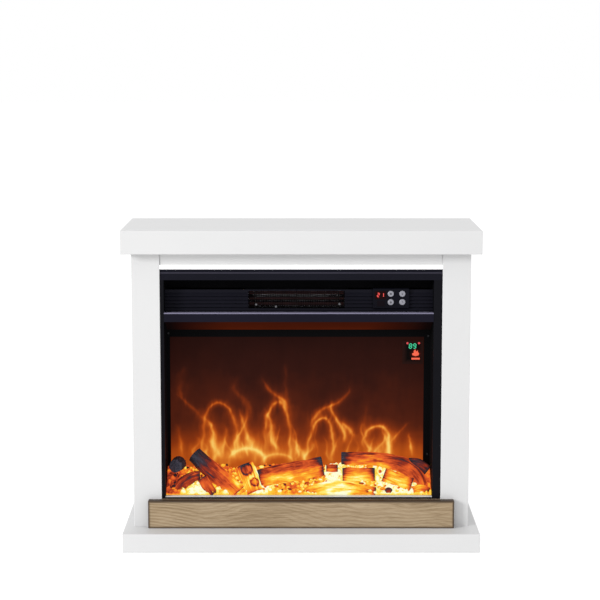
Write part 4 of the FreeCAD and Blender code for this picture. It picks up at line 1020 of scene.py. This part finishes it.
def make_coals():
    """Loose coals scattered on the mound: small broken lumps in one mesh."""
    low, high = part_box("ember_bed")
    dice = np.random.default_rng(11)
    unit, shape = coal_shape()
    vertices, faces, heat = [], [], []
    for number in range(COALS):
        share = float(dice.uniform(0.0, 1.0))
        x = float(dice.uniform(low.x + 0.006, high.x - 0.006))
        y = low.y + (high.y - low.y) * share
        size = float(dice.uniform(*COAL_SIZES))
        spin = Matrix.Rotation(float(dice.uniform(0, 6.28)), 3, "Z")
        turn = spin @ Matrix.Rotation(float(dice.uniform(0, 3.1)), 3, "X")
        stretch = Vector([float(dice.uniform(*span)) for span in ((0.9, 1.8), (0.7, 1.1), (0.5, 0.9))])
        z = mound_height(x, share, low, high) + size * 0.4 + 0.001
        level = ember_heat(x, share) + float(dice.choice(COAL_HEATS))
        first = len(vertices)
        for point in unit:
            rough = 1 + 0.35 * noise.noise(point * 1.7 + Vector((number, 0, 0)))
            moved = turn @ (point * stretch) * size * rough
            place = Vector((x, y, z)) + moved
            place.y = min(max(place.y, low.y - 0.0005), high.y)
            place.x = min(max(place.x, low.x), high.x)
            vertices.append(place)
            heat.append(float(np.clip(level - 0.12 * point.z, 0.08, 1)))
        faces += [tuple(first + index for index in face) for face in shape]
    mesh = mesh_from("loose_coals", vertices, faces)
    set_values(mesh, "burn_level", "FLOAT", heat)
    glow = burning("coal_glow", 0.0018, (1, 1, 1), 0.3, aligned=False)
    add_piece("loose_coals", mesh, glow, smooth=False)


# ---- Digits and symbols ----

SEGMENTS = {"a": ((0, 1), (1, 1)), "b": ((1, 1), (1, 0.5)), "c": ((1, 0.5), (1, 0)), "d": ((0, 0), (1, 0)),
            "e": ((0, 0.5), (0, 0)), "f": ((0, 1), (0, 0.5)), "g": ((0, 0.5), (1, 0.5))}
LIT = {"0": "abcdef", "1": "bc", "2": "abged", "8": "abcdefg", "9": "abcdfg"}


def symbol_piece(name, outlines, front, back, material):
    """Thin flat piece: prisms with the given outlines (x, z pairs) between two depths."""
    vertices, faces = [], []
    for outline in outlines:
        first, count = len(vertices), len(outline)
        vertices += [(x, front, z) for x, z in outline] + [(x, back, z) for x, z in outline]
        faces.append(tuple(range(first, first + count)))
        faces.append(tuple(reversed(range(first + count, first + 2 * count))))
        for index in range(count):
            after = (index + 1) % count
            faces.append((first + index, first + count + index, first + count + after, first + after))
    return add_piece(name, mesh_from(name, vertices, faces), material, smooth=False)


def bar(start, end, half):
    """Six-sided bar outline with pointed ends."""
    a, b = np.array(start), np.array(end)
    along = (b - a) / np.linalg.norm(b - a)
    out = np.array((-along[1], along[0]))
    a, b = a + along * half * 0.3, b - along * half * 0.3
    forth, back = (along + out) * half, (along - out) * half
    return [tuple(p) for p in (a, a + forth, b - back, b, b - forth, a + back)]


def digit(text, corner, size, half):
    """Outlines of a seven-segment digit with a slight lean."""
    outlines = []
    for name in LIT[text]:
        places = [(corner[0] + size[0] * (u + 0.12 * v), corner[1] + size[1] * v) for u, v in SEGMENTS[name]]
        outlines.append(bar(*places, half))
    return outlines


def disc_outline(x, z, radius, sides=20):
    angles = [2 * math.pi * side / sides for side in range(sides)]
    return [(x + radius * math.cos(angle), z + radius * math.sin(angle)) for angle in angles]


# Flame symbol in shares of its width and height, with three tips.
FLAME_RIGHT = ((0, 0), (0.42, 0.12), (0.5, 0.38), (0.3, 0.62), (0.34, 0.86), (0.08, 0.66))
FLAME_LEFT = ((-0.06, 1.0), (-0.3, 0.7), (-0.24, 0.5), (-0.48, 0.4), (-0.46, 0.14))


def flame_outline(x, z, width, height):
    return [(x + width * u, z + height * v) for u, v in FLAME_RIGHT + FLAME_LEFT]


def make_panel_digits():
    low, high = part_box("display_lens")
    width, height = high.x - low.x, high.z - low.z
    outlines = []
    for text, share in (("2", 0.2), ("1", 0.58)):
        corner = (low.x + width * share, low.z + height * 0.30)
        outlines += digit(text, corner, (width * 0.18, height * 0.46), 0.0007)
    red = glowing("red_digit", (1.0, 0.07, 0.06), 1.5)
    symbol_piece("display_digits", outlines, low.y - 0.0003, low.y + 0.0001, red)


def make_status_symbols():
    """Two dots, two digits and a flame over a bar."""
    low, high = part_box("status_display")
    width, height = high.x - low.x, high.z - low.z
    dots = [disc_outline(low.x + width * share, low.z + height * 0.90, 0.0024) for share in (0.24, 0.80)]
    digits = []
    for text, share in (("8", 0.32), ("9", 0.52)):
        digits += digit(text, (low.x + width * share, low.z + height * 0.68), (0.0055, 0.0098), 0.0010)
    middle, foot = low.x + width * 0.64, low.z + height * 0.19
    left, right, top = middle - width * 0.20, middle + width * 0.20, foot + 0.004
    heat = [
        flame_outline(middle, low.z + height * 0.34, width * 0.34, height * 0.30),
        [(left, foot), (right, foot), (right, top), (left, top)],
    ]
    for name, outlines, colour, power in (
        ("status_dots", dots, (0.75, 0.03, 0.04), 1.0),
        ("status_digits", digits, (0.02, 0.72, 0.34), 1.0),
        ("status_heat_symbol", heat, (0.95, 0.10, 0.03), 1.1),
    ):
        lit = glowing(name, colour, power)
        symbol_piece(name, outlines, low.y - 0.0004, low.y + 0.0001, lit)


def make_button_symbols():
    """Dark generic marks on the button faces: ring, bars, flame and clock hands."""
    dark = wear_and_painted_highlight("button_mark", (0.05, 0.05, 0.06), 0.5, 0.05, 0.001, 0.1)
    marks = {
        "power_button": [disc_outline(0, 0, 0.0022, 18)],
        "heat_button": [bar((-0.002, z), (0.002, z), 0.0004) for z in (-0.0016, 0, 0.0016)],
        "flame_button": [flame_outline(0, -0.0026, 0.0042, 0.0056)],
        "timer_button": [bar((0, -0.0004), (0, 0.0026), 0.0005), bar((0, 0), (0.0022, 0), 0.0005)],
    }
    for name, shapes in marks.items():
        low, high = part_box(name)
        middle = (low + high) / 2
        outlines = [[(middle.x + x, middle.z + z) for x, z in shape] for shape in shapes]
        mark = symbol_piece(f"{name}_mark", outlines, low.y - 0.0002, low.y + 0.0002, dark)
        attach(mark, name)


# ---- Materials on the CAD nodes ----


def paint_nodes():
    crossbar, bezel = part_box("crossbar")[1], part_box("top_bezel")[1]
    # Painted highlights: light lines painted along the top bezel's bead and along the crossbar's top edge.
    bezel_painted_highlight = (bezel.z - 0.0080, 0.0020, 0.040)
    crossbar_painted_highlight = (crossbar.z - 0.0004, 0.0018, 0.210)
    looks = {
        lacquer(): ("mantel_shelf", "left_leg", "right_leg", "hearth_base", "frieze_rail"),
        white_trim_painted_glow(): ("opening_trim_strip",),
        oak(): ("plinth_board",),
        raw_board(): ("plinth_shelf", "plinth_rails", "rear_stretcher"),
        wear_and_painted_highlight("white_plastic", (0.7, 0.7, 0.68), 0.5, 0.05, 0.001, 0.1): ("joint_blocks",),
        wear_and_painted_highlight("glide_plastic", (0.06, 0.06, 0.06), 0.6, 0.05, 0.001, 0.1): ("glide_feet",),
        black_steel("frame_enamel", (0.0036, 0.0036, 0.0054), 0.42, 0.06): ("front_frame",),
        black_steel("bezel_enamel_painted_highlight", (0.0042, 0.0041, 0.0085), 0.4, 0.08, bezel_painted_highlight): ("top_bezel",),
        black_steel("bar_enamel_painted_highlight", (0.0054, 0.0049, 0.0110), 0.4, 0.07, crossbar_painted_highlight): ("crossbar",),
        black_steel("louvre_paint", (0.0060, 0.0058, 0.0098), 0.5, 0.05): ("louvre_panel",),
        black_steel("inner_paint", (0.0022, 0.0022, 0.0026), 0.6, 0.03): (
            "screen_frame", "flame_stencil", "heater_duct",
        ),
        case_paint_shaded_inside(): ("case_shell", "rear_cover", "divider_shelf", "air_baffle"),
        sill_metal(): ("sill_trim",),
        hood_with_painted_firelight(): ("hood_panel",),
        wear_and_painted_highlight("mesh_wire", (0.0025, 0.002, 0.0025), 0.7, 0.05, 0.001, 0.1, specular=0.02): ("heater_mesh",),
        status_glass(): ("status_display",),
        hot_wire(): ("heating_element",),
        wear_and_painted_highlight("mica", (0.03, 0.027, 0.025), 0.7, 0.05, 0.002, 0.2, specular=0.1): ("element_supports",),
        black_steel("black_plastic", (0.0038, 0.0038, 0.0070), 0.5, 0.05): (
            "control_panel", "blower_motor", "flame_motor", "cable_gland",
        ),
        brushed("blower_metal", (0.5, 0.5, 0.52)): ("blower_wheel",),
        wear_and_painted_highlight("bush_bronze", (0.45, 0.28, 0.12), 0.4, 0.05, 0.001, 0.1, metal=0.9): ("shaft_bushes",),
        wear_and_painted_highlight("foil", (0.75, 0.75, 0.76), 0.12, 0.05, 0.004, 0.25, metal=1.0): ("flame_rotor",),
        circuit(): ("flame_light_board", "ember_light_board", "control_board", "power_board"),
        wear_and_painted_highlight("red_lens", (0.010, 0.001, 0.001), 0.3, 0.03, 0.001, 0.01, specular=0.05): ("display_lens",),
        wear_and_painted_highlight("infrared_lens", (0.004, 0.002, 0.004), 0.3, 0.03, 0.001, 0.01, specular=0.05): ("ir_window",),
        wear_and_painted_highlight("button_silver", (0.25, 0.25, 0.285), 0.35, 0.05, 0.0012, 0.08, metal=0.3, tones=(0.95, 1.05)): (
            "power_button", "heat_button", "flame_button", "timer_button",
        ),
        screw_paint(): ("front_screws",),
        zinc(): ("wall_brackets", "blower_scroll", "rear_cover_screws", "thermal_cutout"),
    }
    for material, names in looks.items():
        for name in names:
            mesh = NODES[name].data
            mesh.materials.clear()
            mesh.materials.append(material)


make_camera()
make_sky()
make_key_light()
make_floor()
paint_nodes()
make_flame_screen()
make_ember_mound()
make_coals()
make_logs()
make_panel_digits()
make_status_symbols()
make_button_symbols()
